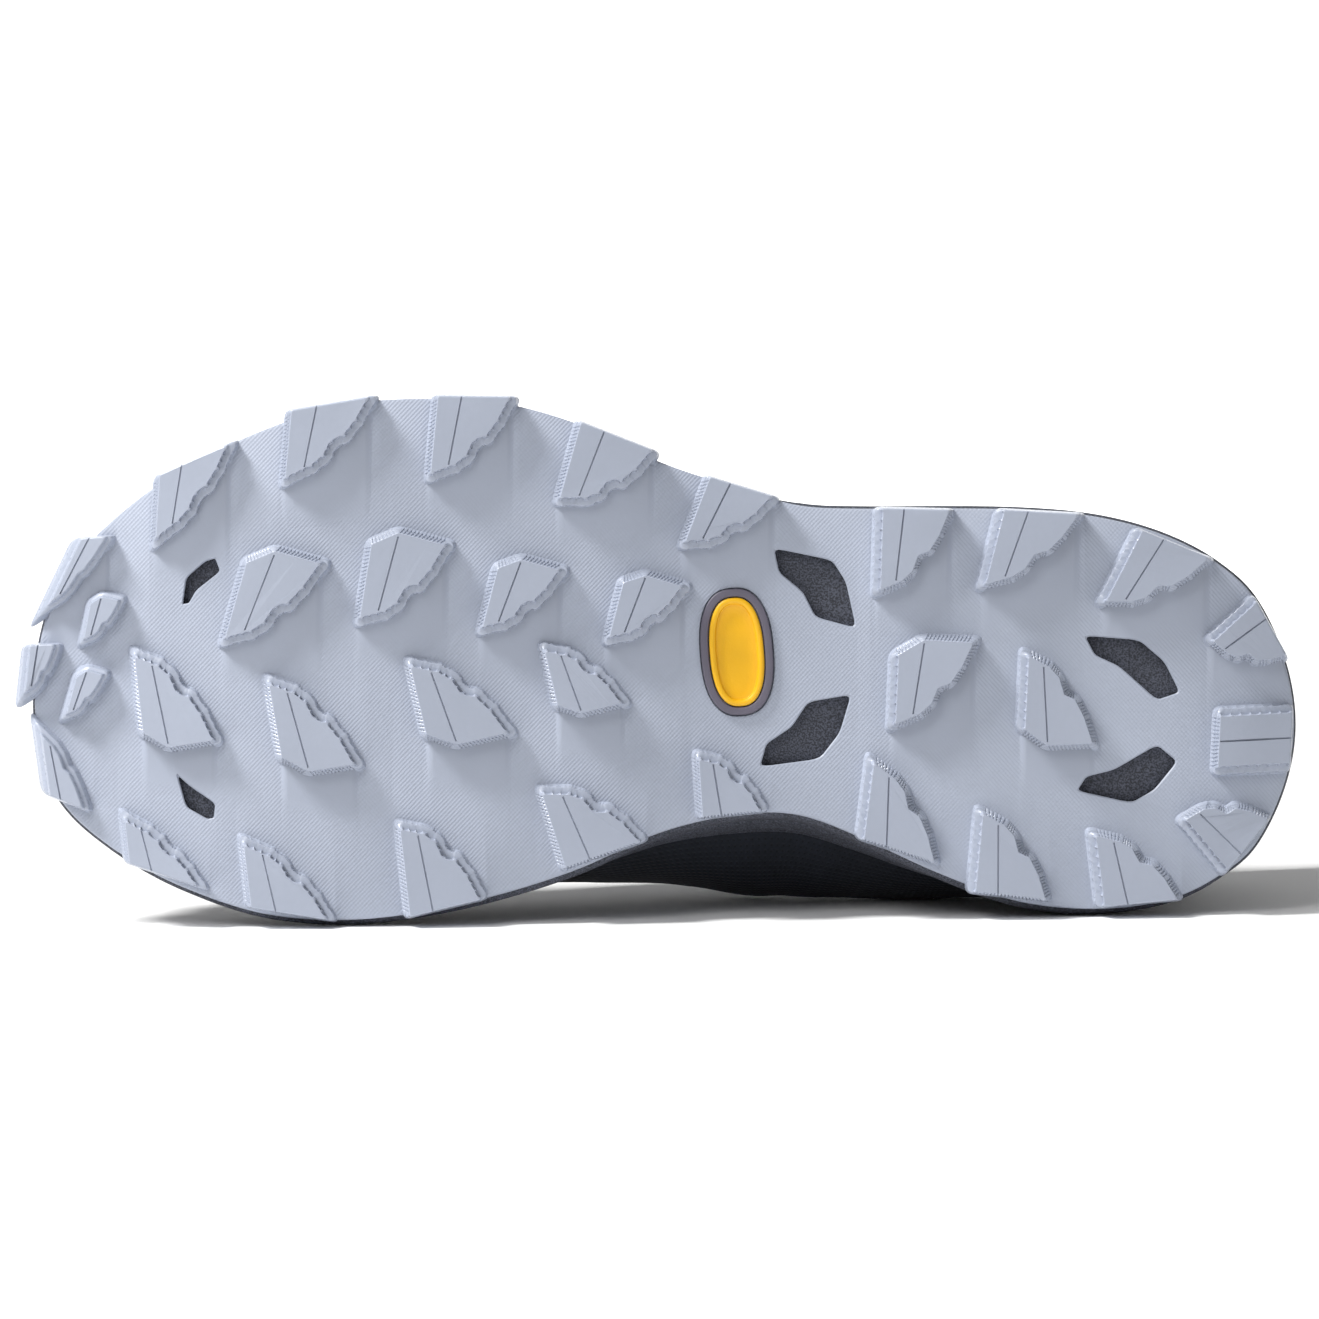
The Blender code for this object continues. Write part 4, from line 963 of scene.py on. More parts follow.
@dataclass(frozen=True)
class Finish:
    """A procedural material."""

    name: str
    colour: Point
    roughness: float = field(default=0.5, kw_only=True)

    def make(self, lying: Matrix) -> bpy.types.Material:
        """Make the material.

        Args:
            lying: where the shoe lies.

        Returns:
            The material.
        """
        graph = Graph(self.name, self.colour, self.roughness)
        self.dress(graph, graph.shoe_place(lying))
        return graph.material

    def dress(self, graph: Graph, place: bpy.types.NodeSocket) -> None:
        """Give the graph its colours and its relief.

        Args:
            graph: the material's nodes.
            place: the place in the shoe's own frame.
        """
        raise NotImplementedError


@dataclass(frozen=True)
class RubberFinish(Finish):
    """Moulded rubber, smooth, hatched, or hatched where a ramp runs out, with painted shade that
    darkens a ramp near its lug.
    """

    roughness: float = field(default=0.55, kw_only=True)
    hatch: bool = False
    # painted shade: the share of the colour kept where a ramp rises to its lug
    ramp_painted_shade: float = 1.0
    hatch_pitch: float = 0.00074
    hatch_depth: float = 0.000065

    def dress(self, graph: Graph, place: bpy.types.NodeSocket) -> None:
        """Grain, clouds and hatch of the rubber.

        Args:
            graph: the material's nodes.
            place: the place in the shoe's own frame.
        """
        cloud = graph.noise(place, 0.030, 3.0)
        grain = graph.noise(place, 0.0012, 3.0)
        shade = graph.spread(graph.math("MULTIPLY_ADD", grain, 0.25, cloud), 0.35, 0.90)
        colour = graph.blend(shade, tint(self.colour, 0.95), tint(self.colour, 1.05))
        graph.set("Roughness", graph.spread(grain, 0.3, 0.7, self.roughness - 0.06,
                                            self.roughness + 0.06))
        bump = graph.relief(grain, 0.00003)
        if self.hatch:
            rising = graph.stripes(place, (0.72, 0.69), self.hatch_pitch)
            falling = graph.stripes(place, (0.74, -0.67), self.hatch_pitch)
            along = graph.add("ShaderNodeSeparateXYZ", {0: place}).outputs[0]
            zone = graph.math("MULTIPLY_ADD", cloud, 0.06, along)
            heel = graph.spread(zone, 0.100, 0.160, 0.62, 0.25)
            lines = graph.add("ShaderNodeMix", {0: heel, 2: rising, 3: falling}).outputs[0]
            # A ramp's height drops the hatch, which is a real smooth patch, and darkens the
            # colour towards its lug as painted shade.
            if self.ramp_painted_shade < 1.0:
                ramp = graph.add("ShaderNodeSeparateXYZ", {0: graph.weave_place()}).outputs[0]
                lines = graph.math("MULTIPLY", lines, graph.spread(ramp, 0.02, 0.25, 1.0, 0.0))
                colour = graph.blend(graph.spread(ramp, 0.0, 0.7), colour,
                                     tint(self.colour, self.ramp_painted_shade))
            bump = graph.relief(lines, self.hatch_depth, bump)
        graph.set("Base Color", colour)
        graph.set("Normal", bump)


@dataclass(frozen=True)
class FoamFinish(Finish):
    """Moulded foam with its speckled grain."""

    speckle: float = 0.55
    roughness: float = field(default=0.8, kw_only=True)

    def dress(self, graph: Graph, place: bpy.types.NodeSocket) -> None:
        """Speckles and grain of the foam.

        Args:
            graph: the material's nodes.
            place: the place in the shoe's own frame.
        """
        grain = graph.noise(place, 0.0004, 1.0)
        cloud = graph.noise(place, 0.012, 2.0)
        mixed = graph.math("MULTIPLY_ADD", cloud, 0.12, grain)
        graph.set("Base Color", graph.blend(graph.spread(mixed, 0.46, 0.70),
                                            tint(self.colour, 1.0 - self.speckle),
                                            tint(self.colour, 1.0 + self.speckle)))
        graph.set("Normal", graph.relief(grain, 0.00008))


@dataclass(frozen=True)
class ClothFinish(Finish):
    """A knit, weave or braid, whose threads follow the piece's weave coordinates."""

    pitch: float
    depth: float
    slanted: bool = False
    # how much of each hole is painted dark as painted shade
    open_share: float = 0.0
    roughness: float = field(default=0.85, kw_only=True)
    sheen: float = 0.15

    def dress(self, graph: Graph, place: bpy.types.NodeSocket) -> None:
        """Threads, holes with their painted shade, and fuzz of the cloth.

        Args:
            graph: the material's nodes.
            place: the place in the shoe's own frame.
        """
        graph.set("Sheen Weight", self.sheen)
        graph.set("Sheen Roughness", 0.5)
        weave = graph.weave_place()
        ways = ((0.78, 0.62), (0.78, -0.62)) if self.slanted else ((1.0, 0.0), (0.0, 1.0))
        first, second = (graph.stripes(weave, way, self.pitch) for way in ways)
        threads = graph.math("MAXIMUM", first, second)
        holes = graph.math("MULTIPLY", graph.math("SUBTRACT", 1.0, first),
                           graph.math("SUBTRACT", 1.0, second))
        cloud = graph.noise(place, 0.018, 3.0)
        fuzz = graph.noise(place, 0.0005)
        shade = graph.spread(graph.math("MULTIPLY_ADD", fuzz, 0.5, cloud), 0.4, 1.1)
        colour = graph.blend(shade, tint(self.colour, 0.75), tint(self.colour, 1.3))
        # Painted shade: the holes' colour falls to a quarter of the cloth's, as shadow inside
        # them.
        if self.open_share > 0.0:
            painted_hole_shade = graph.spread(holes, 1.0 - self.open_share, 1.0)
            colour = graph.blend(painted_hole_shade, colour, tint(self.colour, 0.25))
        graph.set("Base Color", colour)
        height = graph.math("SUBTRACT", threads, graph.math("MULTIPLY", holes, 0.8))
        graph.set("Normal", graph.relief(height, self.depth, graph.relief(fuzz, 0.00004)))


@dataclass(frozen=True)
class FilmFinish(Finish):
    """A matte film or plastic with a fine grain and a thin coat."""

    grain_size: float = 0.0005
    grain_depth: float = 0.00003
    coat: float = 0.1

    def dress(self, graph: Graph, place: bpy.types.NodeSocket) -> None:
        """Grain and coat of the film.

        Args:
            graph: the material's nodes.
            place: the place in the shoe's own frame.
        """
        graph.set("Coat Weight", self.coat)
        graph.set("Coat Roughness", 0.35)
        grain = graph.noise(place, self.grain_size, 3.0)
        cloud = graph.noise(place, 0.015, 3.0)
        graph.set("Base Color", graph.blend(graph.spread(cloud, 0.3, 0.7),
                                            tint(self.colour, 0.88), tint(self.colour, 1.12)))
        graph.set("Roughness", graph.spread(grain, 0.3, 0.7, self.roughness - 0.07,
                                            self.roughness + 0.07))
        graph.set("Normal", graph.relief(grain, self.grain_depth))


RUBBER_COLOUR = (0.345, 0.378, 0.458)
# The sheet between the lugs is painted 8 % lighter than the lugs' rubber, as painted light in the
# hollows between them.
HATCHED_RUBBER = RubberFinish("hatched_rubber", tint(RUBBER_COLOUR, 1.08), hatch=True)
LUG_RUBBER = RubberFinish("lug_rubber", RUBBER_COLOUR, roughness=0.42)
# The ramps' rubber has the sheet's lighter tint, and painted shade darkens it towards each lug.
RAMP_RUBBER = RubberFinish("ramp_rubber", tint(RUBBER_COLOUR, 1.08), hatch=True, ramp_painted_shade=0.84)
# The flanks are painted 8 % lighter than the lugs' faces as a painted highlight; their low
# roughness gives real glints.
FLANK_RUBBER = RubberFinish("flank_rubber", tint(RUBBER_COLOUR, 1.08), roughness=0.30)
FOAM = FoamFinish("midsole_foam", (0.058, 0.063, 0.083))
# The knit's holes are painted dark as painted shade.
KNIT = ClothFinish("upper_mesh", (0.0085, 0.0120, 0.0210), 0.0012, 0.00007, open_share=0.30,
                   sheen=0.06)
LINING = ClothFinish("collar_lining", (0.020, 0.023, 0.030), 0.0009, 0.00010, slanted=True)
TONGUE_CLOTH = ClothFinish("tongue_cloth", (0.014, 0.017, 0.025), 0.0011, 0.00014, slanted=True)
INSOLE_CLOTH = ClothFinish("insole_cloth", (0.040, 0.044, 0.052), 0.0008, 0.00006)
BRAID = ClothFinish("lace_braid", (0.045, 0.050, 0.060), 0.0010, 0.00016, slanted=True,
                    sheen=0.3)
THREAD = ClothFinish("seam_thread", (0.050, 0.055, 0.066), 0.0005, 0.00005, slanted=True)
OVERLAY_FILM = FilmFinish("overlay_film", (0.014, 0.017, 0.025), roughness=0.62, coat=0.03)
COUNTER_FILM = FilmFinish("counter_plastic", (0.015, 0.018, 0.026), roughness=0.62, coat=0.04)
EYELET_PLASTIC = FilmFinish("eyelet_plastic", (0.035, 0.037, 0.042), roughness=0.38, coat=0.2)
INLAY_RUBBER = FilmFinish("inlay_rubber", (0.800, 0.430, 0.002), roughness=0.42, coat=0.15)
RIM_RUBBER = FilmFinish("inlay_rim_rubber", (0.115, 0.105, 0.140), roughness=0.5, coat=0.0)


@dataclass
class Workshop:
    """Where finished meshes become pieces of the shoe, laid down with it."""

    lying: Matrix
    ready: dict[str, bpy.types.Material] = field(default_factory=dict)

    def material(self, finish: Finish) -> bpy.types.Material:
        """The material of a finish, made once."""
        if finish.name not in self.ready:
            self.ready[finish.name] = finish.make(self.lying)
        return self.ready[finish.name]

    def place(self, name: str, mesh: bpy.types.Mesh, finishes: Sequence[Finish],
              nodes: Sequence[str], slot: str, angle: float = 35.0) -> bpy.types.Object:
        """Lay a mesh down with the shoe and make it a piece.

        Args:
            name: the piece's name.
            mesh: its mesh, in the shoe's frame.
            finishes: its finishes, by material slot, for a mesh that has none yet.
            nodes: the nodes that it stands for.
            slot: the record's material slot that it stands for; not used.
            angle: edges sharper than this stay sharp.

        Returns:
            The piece.
        """
        mesh.transform(self.lying)
        mesh.shade_smooth()
        mesh.set_sharp_from_angle(angle=math.radians(angle))
        for finish in finishes:
            mesh.materials.append(self.material(finish))
        piece = link(name, mesh)
        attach(piece, BODY)
        if nodes:
            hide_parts(*nodes)
        LOG.info("%s: %d faces", name, len(mesh.polygons))
        return piece


def lying_matrix(plan: SolePlan, record: dict[str, Any]) -> Matrix:
    """Where the shoe lies, from the two mounts on its lugs' faces.

    Args:
        plan: the sole's plan.
        record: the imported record.

    Returns:
        The matrix from the shoe's frame to the row's.
    """
    rows = {row[0]: row for row in INNER_LUGS}
    mounts = {mount["name"]: mount for mount in record["mounts"]}
    heel, ball = (Vector(mounts[name]["pos_m"]) for name in ("heel_tread", "forefoot_tread"))
    at_heel, at_ball = (plan.lug_points(rows[name], (plan.mount_spot,))[0]
                        for name in ("heel_inner_2", "inner_medial_3"))
    up = -Vector(mounts["heel_tread"]["axis"]).normalized()
    way, (dx, dy) = ball - heel, (at_ball - at_heel).tolist()
    x = dx * way - dy * up.cross(way)
    x = (x - up * x.dot(up)).normalized()
    turned = Matrix((x, up.cross(x), up)).transposed()
    shift = heel - turned @ Vector((*at_heel, 0.0))
    return Matrix.Translation(shift) @ turned.to_4x4()


class Cloth(IntEnum):
    """The upper's material slots."""

    KNIT = 0
    LINING = 1


class Rubber(IntEnum):
    """The outsole's material slots."""

    SHEET = 0
    LUG = 1
    RAMP = 2
    FLANK = 3


@dataclass
class Outsole:
    """The rubber sheet with its lugs, channels, sipes and windows."""

    plan: SolePlan
    around: int = 720
    root: float = 0.6
    root_flare: float = 0.0001
    inner_step_draft: float = 0.0016
    corner: float = 0.0003
    corner_steps: int = 5
    corner_limit: float = 0.4
    sharp_turn: float = 0.35
    tip: float = 0.0013
    tip_reach: float = 0.85
    sipe_width: float = 0.00032
    sipe_depth: float = 0.00045
    chamfer: float = 0.00028
    ramp_height: float = 0.0014
    ramp_lift: float = 0.00006
    ramp_tuck: float = 0.0018
    ramp_run: float = 0.014
    ramp_fall: float = 1.4
    ramp_across: tuple[float, ...] = (0.0, 0.02, 0.045, 0.075, 0.11, 0.5, 0.9, 0.93, 0.96,
                                      0.98, 1.0)
    skirt: float = 0.0014
    pocket_play: float = 0.0003
    sharp_angle: float = 28.0
    batches: int = 3

    def sheet_draft(self) -> MeshDraft:
        """The sheet with its chamfered edge."""
        plan, draft, turns = self.plan, MeshDraft(), whole_round(self.around)
        chamfer, rings = plan.sheet / 3.0, []
        for inset, rise in ((chamfer, 0.0), (0.3 * chamfer, 0.3 * chamfer), (0.0, chamfer),
                            (0.0, plan.sheet)):
            flat = plan.inset(turns, np.full(len(turns), inset))
            rings.append(np.column_stack([flat, plan.underside(flat[:, 0]) + rise]))
        draft.add_slab(rings)
        return draft

    def offset_corners(self, corners: Array, drafts: Sequence[float]) -> Array:
        """Move each side of a flat polygon out by its own draft and meet them again.

        Args:
            corners: the polygon.
            drafts: one for each side.

        Returns:
            The moved corners.
        """
        run = np.roll(corners, -1, axis=0) - corners
        normals = winding(corners) * unit(np.column_stack([run[:, 1], -run[:, 0]]))
        lines = np.sum(normals * corners, axis=1) + drafts
        return np.array([np.linalg.solve(np.array([normals[i - 1], normals[i]]),
                                         np.array([lines[i - 1], lines[i]]))
                         for i in range(len(corners))])

    def flanks(self, name: str, template: Sequence[Point]) -> list[Flank]:
        """The kinds of a lug's flanks, from its outer flank round to its front one.

        Args:
            name: the lug's name.
            template: its face.

        Returns:
            A kind for each side of the face.
        """
        if template is BAR:
            return [Flank.RIM, Flank.SCALLOPED, Flank.CUBED, Flank.SCALLOPED]
        back, front = Flank.SCALLOPED, Flank.CUBED
        if name.startswith("heel"):
            back, front = front, back
        elif name.startswith("toe") or name == "lateral_1":
            back = front = Flank.STEPPED
        if template is INNER_BLADE:
            outer = [Flank.STEPPED if front is Flank.STEPPED else Flank.CUBED] * 2
        else:
            outer = [Flank.TOOTHED if name in TOOTHED_LUGS else Flank.RIM]
        return outer + [back] * (len(template) - len(outer) - 1) + [front]

    def draft(self, kind: Flank, template: Sequence[Point]) -> float:
        """How far a flank's root lies outside the lug's face."""
        inner_step = template is INNER_BLADE and kind is Flank.STEPPED
        return self.inner_step_draft if inner_step else FLANKS[kind].draft

    def corner_size(self, before: Array, after: Array, sign: float, reach: float,
                    room: float) -> float:
        """How much of both sides a lug's rounded corner takes.

        Args:
            before: direction of the side that ends there.
            after: direction of the side that starts there.
            sign: the winding of the lug's face.
            reach: how far the flank has reached there.
            room: length of the shorter side.

        Returns:
            The length taken.
        """
        turn = sign * (before[0] * after[1] - before[1] * after[0])
        size = self.corner
        if turn > self.sharp_turn:
            sharpness = max(-float(before @ after), 0.0)
            size += self.tip * sharpness + self.tip_reach * max(reach, 0.0)
        return min(size, self.corner_limit * room)

    def lug_ring(self, face: Array, kinds: Sequence[Flank], drafts: Sequence[float],
                 level: int) -> Array:
        """One ring of a lug, with its rounded corners and its bites.

        Args:
            face: the corners of the lug's face.
            kinds: the kind of each flank.
            drafts: how far each flank reaches.
            level: the level of the flanks, and the root is the one after the last.

        Returns:
            The ring's x and y and its depth as a share of the lug's.
        """
        sign, count = winding(face), len(face)
        sides = np.linalg.norm(np.roll(face, -1, axis=0) - face, axis=1)
        steps = [FLANKS[kind].level(min(level, LAST_LEVEL)) for kind in kinds]
        flare, bitten = (self.root_flare, 0.0) if level > LAST_LEVEL else (0.0, 1.0)
        reach = np.array([step[1] * draft + flare for step, draft in zip(steps, drafts)])
        corners = self.offset_corners(face, reach)
        run = np.roll(corners, -1, axis=0) - corners
        lengths = np.linalg.norm(run, axis=1)
        ways = run / lengths[:, None]
        sizes = [self.corner_size(ways[i - 1], ways[i], sign, max(reach[i - 1], reach[i]),
                                  min(lengths[i - 1], lengths[i])) for i in range(count)]
        ring = []
        for i, kind in enumerate(kinds):
            before, after, k = ways[i - 1], ways[i], (i + 1) % count
            for t in np.arange(self.corner_steps) / self.corner_steps:
                flat = (corners[i] - before * sizes[i] * (1.0 - t) ** 2
                        + after * sizes[i] * t ** 2)
                ring.append((*flat, steps[i - 1][0] * (1.0 - t) + steps[i][0] * t))
            start, end = corners[i] + after * sizes[i], corners[k] - after * sizes[k]
            places, bites = FLANKS[kind].run(sides[i], steps[i][3])
            normal = sign * np.array([after[1], -after[0]])
            flat = (start + np.outer(places, end - start)
                    - np.outer(bites * steps[i][2] * bitten, normal))
            ring += [(*point, steps[i][0]) for point in flat]
        return np.array(ring)

    def lug_mesh(self, row: Sequence[Any], template: Sequence[Point]) -> MeshDraft:
        """A lug with its stepped and bitten flanks.

        Args:
            row: its name and three corners.
            template: its face.

        Returns:
            The lug, as a closed body.
        """
        plan = self.plan
        face = plan.lug_points(row, template)
        kinds = self.flanks(row[0], template)
        drafts = [self.draft(kind, template) for kind in kinds]
        rings = []
        for level in range(LAST_LEVEL + 2):
            ring = self.lug_ring(face, kinds, drafts, level)
            height = (plan.underside(ring[:, 0]) + self.root * plan.sheet if level > LAST_LEVEL
                      else plan.rise(ring[:, 0]) + ring[:, 2] * plan.lug_depth)
            rings.append(np.column_stack([ring[:, :2], height]))
        draft = MeshDraft()
        draft.add_tube(np.array(rings))
        draft.paint(Rubber.FLANK).slots[-2:] = [Rubber.LUG] * 2
        return draft

    def prism(self, levels: Sequence[Array]) -> MeshDraft:
        """A closed body through polygons of as many corners."""
        draft = MeshDraft()
        draft.add_tube(np.array(levels))
        return draft.paint(Rubber.LUG)

    def ramp(self, row: Sequence[Any]) -> MeshDraft:
        """The smooth ramp that falls from a lug towards the medial side.

        Args:
            row: the lug's name and three corners.

        Returns:
            The ramp, as a closed body.
        """
        plan = self.plan
        inner, front, back = plan.corners(row)
        lower = inner if front[1] > inner[1] else front
        line = np.array([lower + (self.skirt, 0.0), front, back])
        if lower is front:
            line[:, 1] += self.ramp_tuck
        else:
            line[1:, 1] -= self.ramp_tuck
        line = line[np.argsort(line[:, 0])]
        left, right = lower[0] + self.skirt, back[0] - 0.6 * self.skirt
        across, down = np.array(self.ramp_across), np.linspace(0.0, 1.0, 14)
        x = left + (right - left) * across
        top = np.minimum(np.interp(x, line[:, 0], line[:, 1]), self.rim_y(x) - self.ramp_tuck)
        y = top[None, :] + (lower[1] - self.ramp_run - top)[None, :] * down[:, None]
        side = np.minimum(fade(across, 0.0, 0.11), 1.0 - fade(across, 0.9, 1.0))
        height = ((1.0 - down) ** self.ramp_fall)[:, None] * side[None, :]
        grid_x = np.broadcast_to(x, y.shape)
        under = plan.underside(grid_x)
        top_face = np.stack([grid_x, y, under + self.ramp_lift - self.ramp_height * height], -1)
        low_face = np.stack([grid_x, y, under + 0.45 * plan.sheet], -1)
        draft = MeshDraft()
        draft.add_tube(np.concatenate([top_face, low_face[:, ::-1]], axis=1))
        # The height rides in the weave coordinates, where the ramp rubber drops its hatch and
        # paints its shade.
        smooth = np.concatenate([height, height[:, ::-1]], axis=1).ravel()
        draft.weave = [(smooth[k], 0.0) for face in draft.faces for k in face]
        return draft.paint(Rubber.RAMP)

    def rim_y(self, x: Array) -> Array:
        """How far the outline reaches on the lateral side at lengths from the heel."""
        part = np.arccos(np.clip(1.0 - 2.0 * x / self.plan.length, -1.0, 1.0)) / np.pi
        return self.plan.outline(part)[:, 1]

    def sipe(self, row: Sequence[Any], ends: Sequence[Point]) -> MeshDraft:
        """The cutter for the thin groove along a lug's face.

        Args:
            row: the lug's name and three corners.
            ends: both ends of the groove in the face.

        Returns:
            The cutter.
        """
        a, b = self.plan.lug_points(row, ends)
        run = unit(b - a)
        half = np.array([-run[1], run[0]]) * self.sipe_width / 2.0
        levels = []
        for width, depth in ((1.6, -0.0005), (1.2, 0.0), (0.7, self.sipe_depth)):
            flat = np.array([a - half * width, b - half * width, b + half * width,
                             a + half * width])
            levels.append(np.column_stack([flat, self.plan.rise(flat[:, 0]) + depth]))
        return self.prism(levels)

    def window(self, corners: Sequence[Point]) -> MeshDraft:
        """The cutter for one window, with a chamfer at its edge."""
        plan, levels = self.plan, []
        plain = np.array([plan.place(*pair) for pair in corners])
        for grow, depth in ((self.chamfer, -1.5), (self.chamfer, 0.0),
                            (0.0, self.chamfer / plan.sheet), (0.0, 1.5)):
            flat = round_corners(self.offset_corners(plain, np.full(len(plain), grow)), 0.18, 4)
            under = plan.underside(flat[:, 0])
            levels.append(np.column_stack([flat, under + depth * plan.sheet]))
        return self.prism(levels)

    def join(self, drafts: Sequence[MeshDraft], shop: Workshop) -> bpy.types.Mesh:
        """One mesh that holds several closed bodies, each with its normals out.

        Args:
            drafts: the bodies.
            shop: where their materials come from.

        Returns:
            The mesh.
        """
        shape = bmesh.new()
        for draft in drafts:
            mesh = draft.build("body")
            shape.from_mesh(mesh)
            bpy.data.meshes.remove(mesh)
        bmesh.ops.triangulate(shape, faces=[face for face in shape.faces if len(face.verts) > 4],
                              ngon_method="EAR_CLIP")
        joined = bpy.data.meshes.new("bodies")
        shape.to_mesh(joined)
        shape.free()
        for finish in (HATCHED_RUBBER, LUG_RUBBER, RAMP_RUBBER, FLANK_RUBBER):
            joined.materials.append(shop.material(finish))
        return joined

    def build(self, shop: Workshop, badge: "Badge") -> None:
        """Build the outsole.

        Args:
            shop: where it is placed.
            badge: the inlay that it has a seat for.
        """
        blades = (*EDGE_LUGS, *INNER_LUGS)
        lugs = [self.lug_mesh(row, BLADE) for row in EDGE_LUGS]
        lugs += [self.lug_mesh(row, INNER_BLADE) for row in INNER_LUGS]
        lugs.append(self.lug_mesh(BAR_LUG, BAR))
        ramps = [self.ramp(row) for row in blades if "lateral_" in row[0] or "inner" in row[0]]
        windows = [self.window(row) for row in WINDOWS]
        sipes = [self.sipe(row, BLADE_SIPE) for row in blades] + [self.sipe(BAR_LUG, BAR_SIPE)]
        steps = [(ramps[k::self.batches], "UNION") for k in range(self.batches)]
        steps.append((windows, "DIFFERENCE"))
        steps += [(lugs[k::self.batches], "UNION") for k in range(self.batches)]
        steps += [(sipes, "DIFFERENCE"), ([badge.seat(self.pocket_play)], "DIFFERENCE")]
        mesh = self.join([self.sheet_draft()], shop)
        for drafts, operation in steps:
            mesh = carve(mesh, self.join(drafts, shop), operation)
        piece = shop.place("outsole_tread", mesh, (), ["outsole"], "rubber", self.sharp_angle)
        for face in piece.data.polygons:
            face.use_smooth = face.material_index != Rubber.LUG


@dataclass
class Badge:
    """The plain oval inlay in the waist of the outsole."""

    plan: SolePlan
    station: float = 0.4415
    across: float = 0.111
    length: float = 0.0296
    width: float = 0.0168
    tilt: float = math.radians(-4.5)
    rim: float = 0.0018
    proud: float = 0.0011
    pocket: float = 0.0012
    border: float = 0.0013
    power: float = 2.5
    around: int = 96

    def ring(self, inset: float, depth: float) -> Array:
        """An oval ring.

        Args:
            inset: how far it lies inside the inlay's edge.
            depth: how far it lies in the sheet.

        Returns:
            Its points.
        """
        u, v = (bulge(part, 2.0 / self.power) for part in circle(self.around))
        u, v = (self.width / 2.0 - inset) * u, (self.length / 2.0 - inset) * v
        x, y = self.plan.place(self.station, self.across)
        x = x + u * math.cos(self.tilt) - v * math.sin(self.tilt)
        y = y + u * math.sin(self.tilt) + v * math.cos(self.tilt)
        return np.column_stack([x, y, self.plan.underside(x) + depth])

    def seat(self, play: float) -> MeshDraft:
        """The cutter for the inlay's seat in the sheet."""
        draft = MeshDraft()
        draft.add_tube(np.array([self.ring(-play, -0.5 * self.plan.lug_depth),
                                 self.ring(-play, self.pocket)]))
        return draft

    def build(self, shop: Workshop) -> None:
        """Build the rim and the inlay.

        Args:
            shop: where they are placed.
        """
        fit, low = self.plan.fit, self.pocket - self.plan.fit
        rim = MeshDraft()
        profile = ((0.0, low), (0.0, -0.75 * self.proud), (0.0002, -0.95 * self.proud),
                   (0.0005, -self.proud), (self.rim - 0.0005, -self.proud),
                   (self.rim - 0.0002, -0.95 * self.proud), (self.rim, -0.7 * self.proud),
                   (self.rim, low))
        rim.add_grid(np.array([self.ring(inset, depth) for inset, depth in profile]),
                     closed_rows=True, closed_columns=True)
        shop.place("badge_rim_ring", rim.build("badge_rim"), (RIM_RUBBER,), ["badge_rim"],
                   "inlay_rim")
        start, top = self.rim + fit, -0.95 * self.proud
        profile = ((start, low), (start, top + 0.0003), (start + 0.0002, top + 0.0001),
                   (start + 0.0004, top), (start + self.border - 0.0003, top),
                   (start + self.border, top + 0.0002), (start + self.border + 0.0003, 0.0),
                   (start + self.border + 0.0006, 0.0001), (start + 0.0040, 0.0001))
        inlay = MeshDraft()
        inlay.add_tube(np.array([self.ring(inset, depth) for inset, depth in profile]))
        shop.place("badge_oval", inlay.build("badge_inlay"), (INLAY_RUBBER,), ["badge_inlay"],
                   "inlay")


@dataclass
class Midsole:
    """The foam, with the steps and ribs of its side."""

    plan: SolePlan
    rib_depth: float = 0.0014
    around: int = 600
    levels: int = 44
    edge_round: float = 0.0008

    def build(self, shop: Workshop) -> None:
        """Build the midsole.

        Args:
            shop: where it is placed.
        """
        plan = self.plan
        turns = whole_round(self.around)
        inset = plan.edge_inset(turns)
        parts = np.linspace(0.0, 1.0, self.levels)
        lean = read_column(SIDE, parts, 1, smooth=False)
        relief = np.interp(parts, [row[0] for row in SIDE], [row[2] for row in SIDE])
        relief = np.convolve(np.pad(relief, 1, mode="edge"), (0.25, 0.5, 0.25), mode="valid")
        shy = np.interp(turns, *np.array(MIDSOLE_SHYNESS).T)
        rings = []
        for k, part in enumerate(parts):
            end = self.edge_round * (1.0 if k in (0, self.levels - 1) else 0.0)
            back = shy * float(1.0 - fade(part, 0.1, 0.7))
            flat = plan.inset(turns, inset * lean[k] - self.rib_depth * relief[k] + end + back)
            base = plan.foam_base(flat[:, 0])
            height = plan.footbed(flat[:, 0]) - base
            rings.append(np.column_stack([flat, base + height * part]))
        draft = MeshDraft()
        draft.add_slab(rings)
        shop.place("midsole_foam", draft.build("midsole"), (FOAM,), ["midsole"], "foam", 40.0)


@dataclass
class Insole:
    """The removable footbed, cupped at its edge."""

    form: UpperForm
    thickness: float = 0.0040
    cup: float = 0.0016
    around: int = 320
    profile: tuple[tuple[float, float], ...] = (
        (0.9, 0.0), (0.985, 0.0), (1.0, 0.25), (1.0, 0.75), (0.985, 0.96), (0.96, 1.0),
        (0.9, 1.0), (0.8, 1.0), (0.65, 1.0), (0.45, 1.0), (0.22, 1.0))

    def build(self, shop: Workshop) -> None:
        """Build the insole.

        Args:
            shop: where it is placed.
        """
        plan = self.form.plan
        turns = whole_round(self.around)
        inset = plan.edge_inset(turns) + self.form.ledge + self.form.wall + 4.0 * plan.fit
        edge = plan.inset(turns, inset)
        middle_x = np.clip(edge[:, 0], 0.12 * plan.length, 0.88 * plan.length)
        middle = np.column_stack([middle_x, 0.002 * np.ones(len(turns))])
        rings = []
        for share, rise in self.profile:
            flat = middle + (edge - middle) * share
            cup = self.cup * float(fade(share, 0.55, 1.0)) * rise
            level = plan.footbed(flat[:, 0]) + plan.fit + self.thickness * rise + cup
            rings.append(np.column_stack([flat, level]))
        draft = MeshDraft()
        draft.add_slab(rings)
        piece = shop.place("insole_footbed", draft.build("insole"), (INSOLE_CLOTH,), ["insole"],
                           "insole")


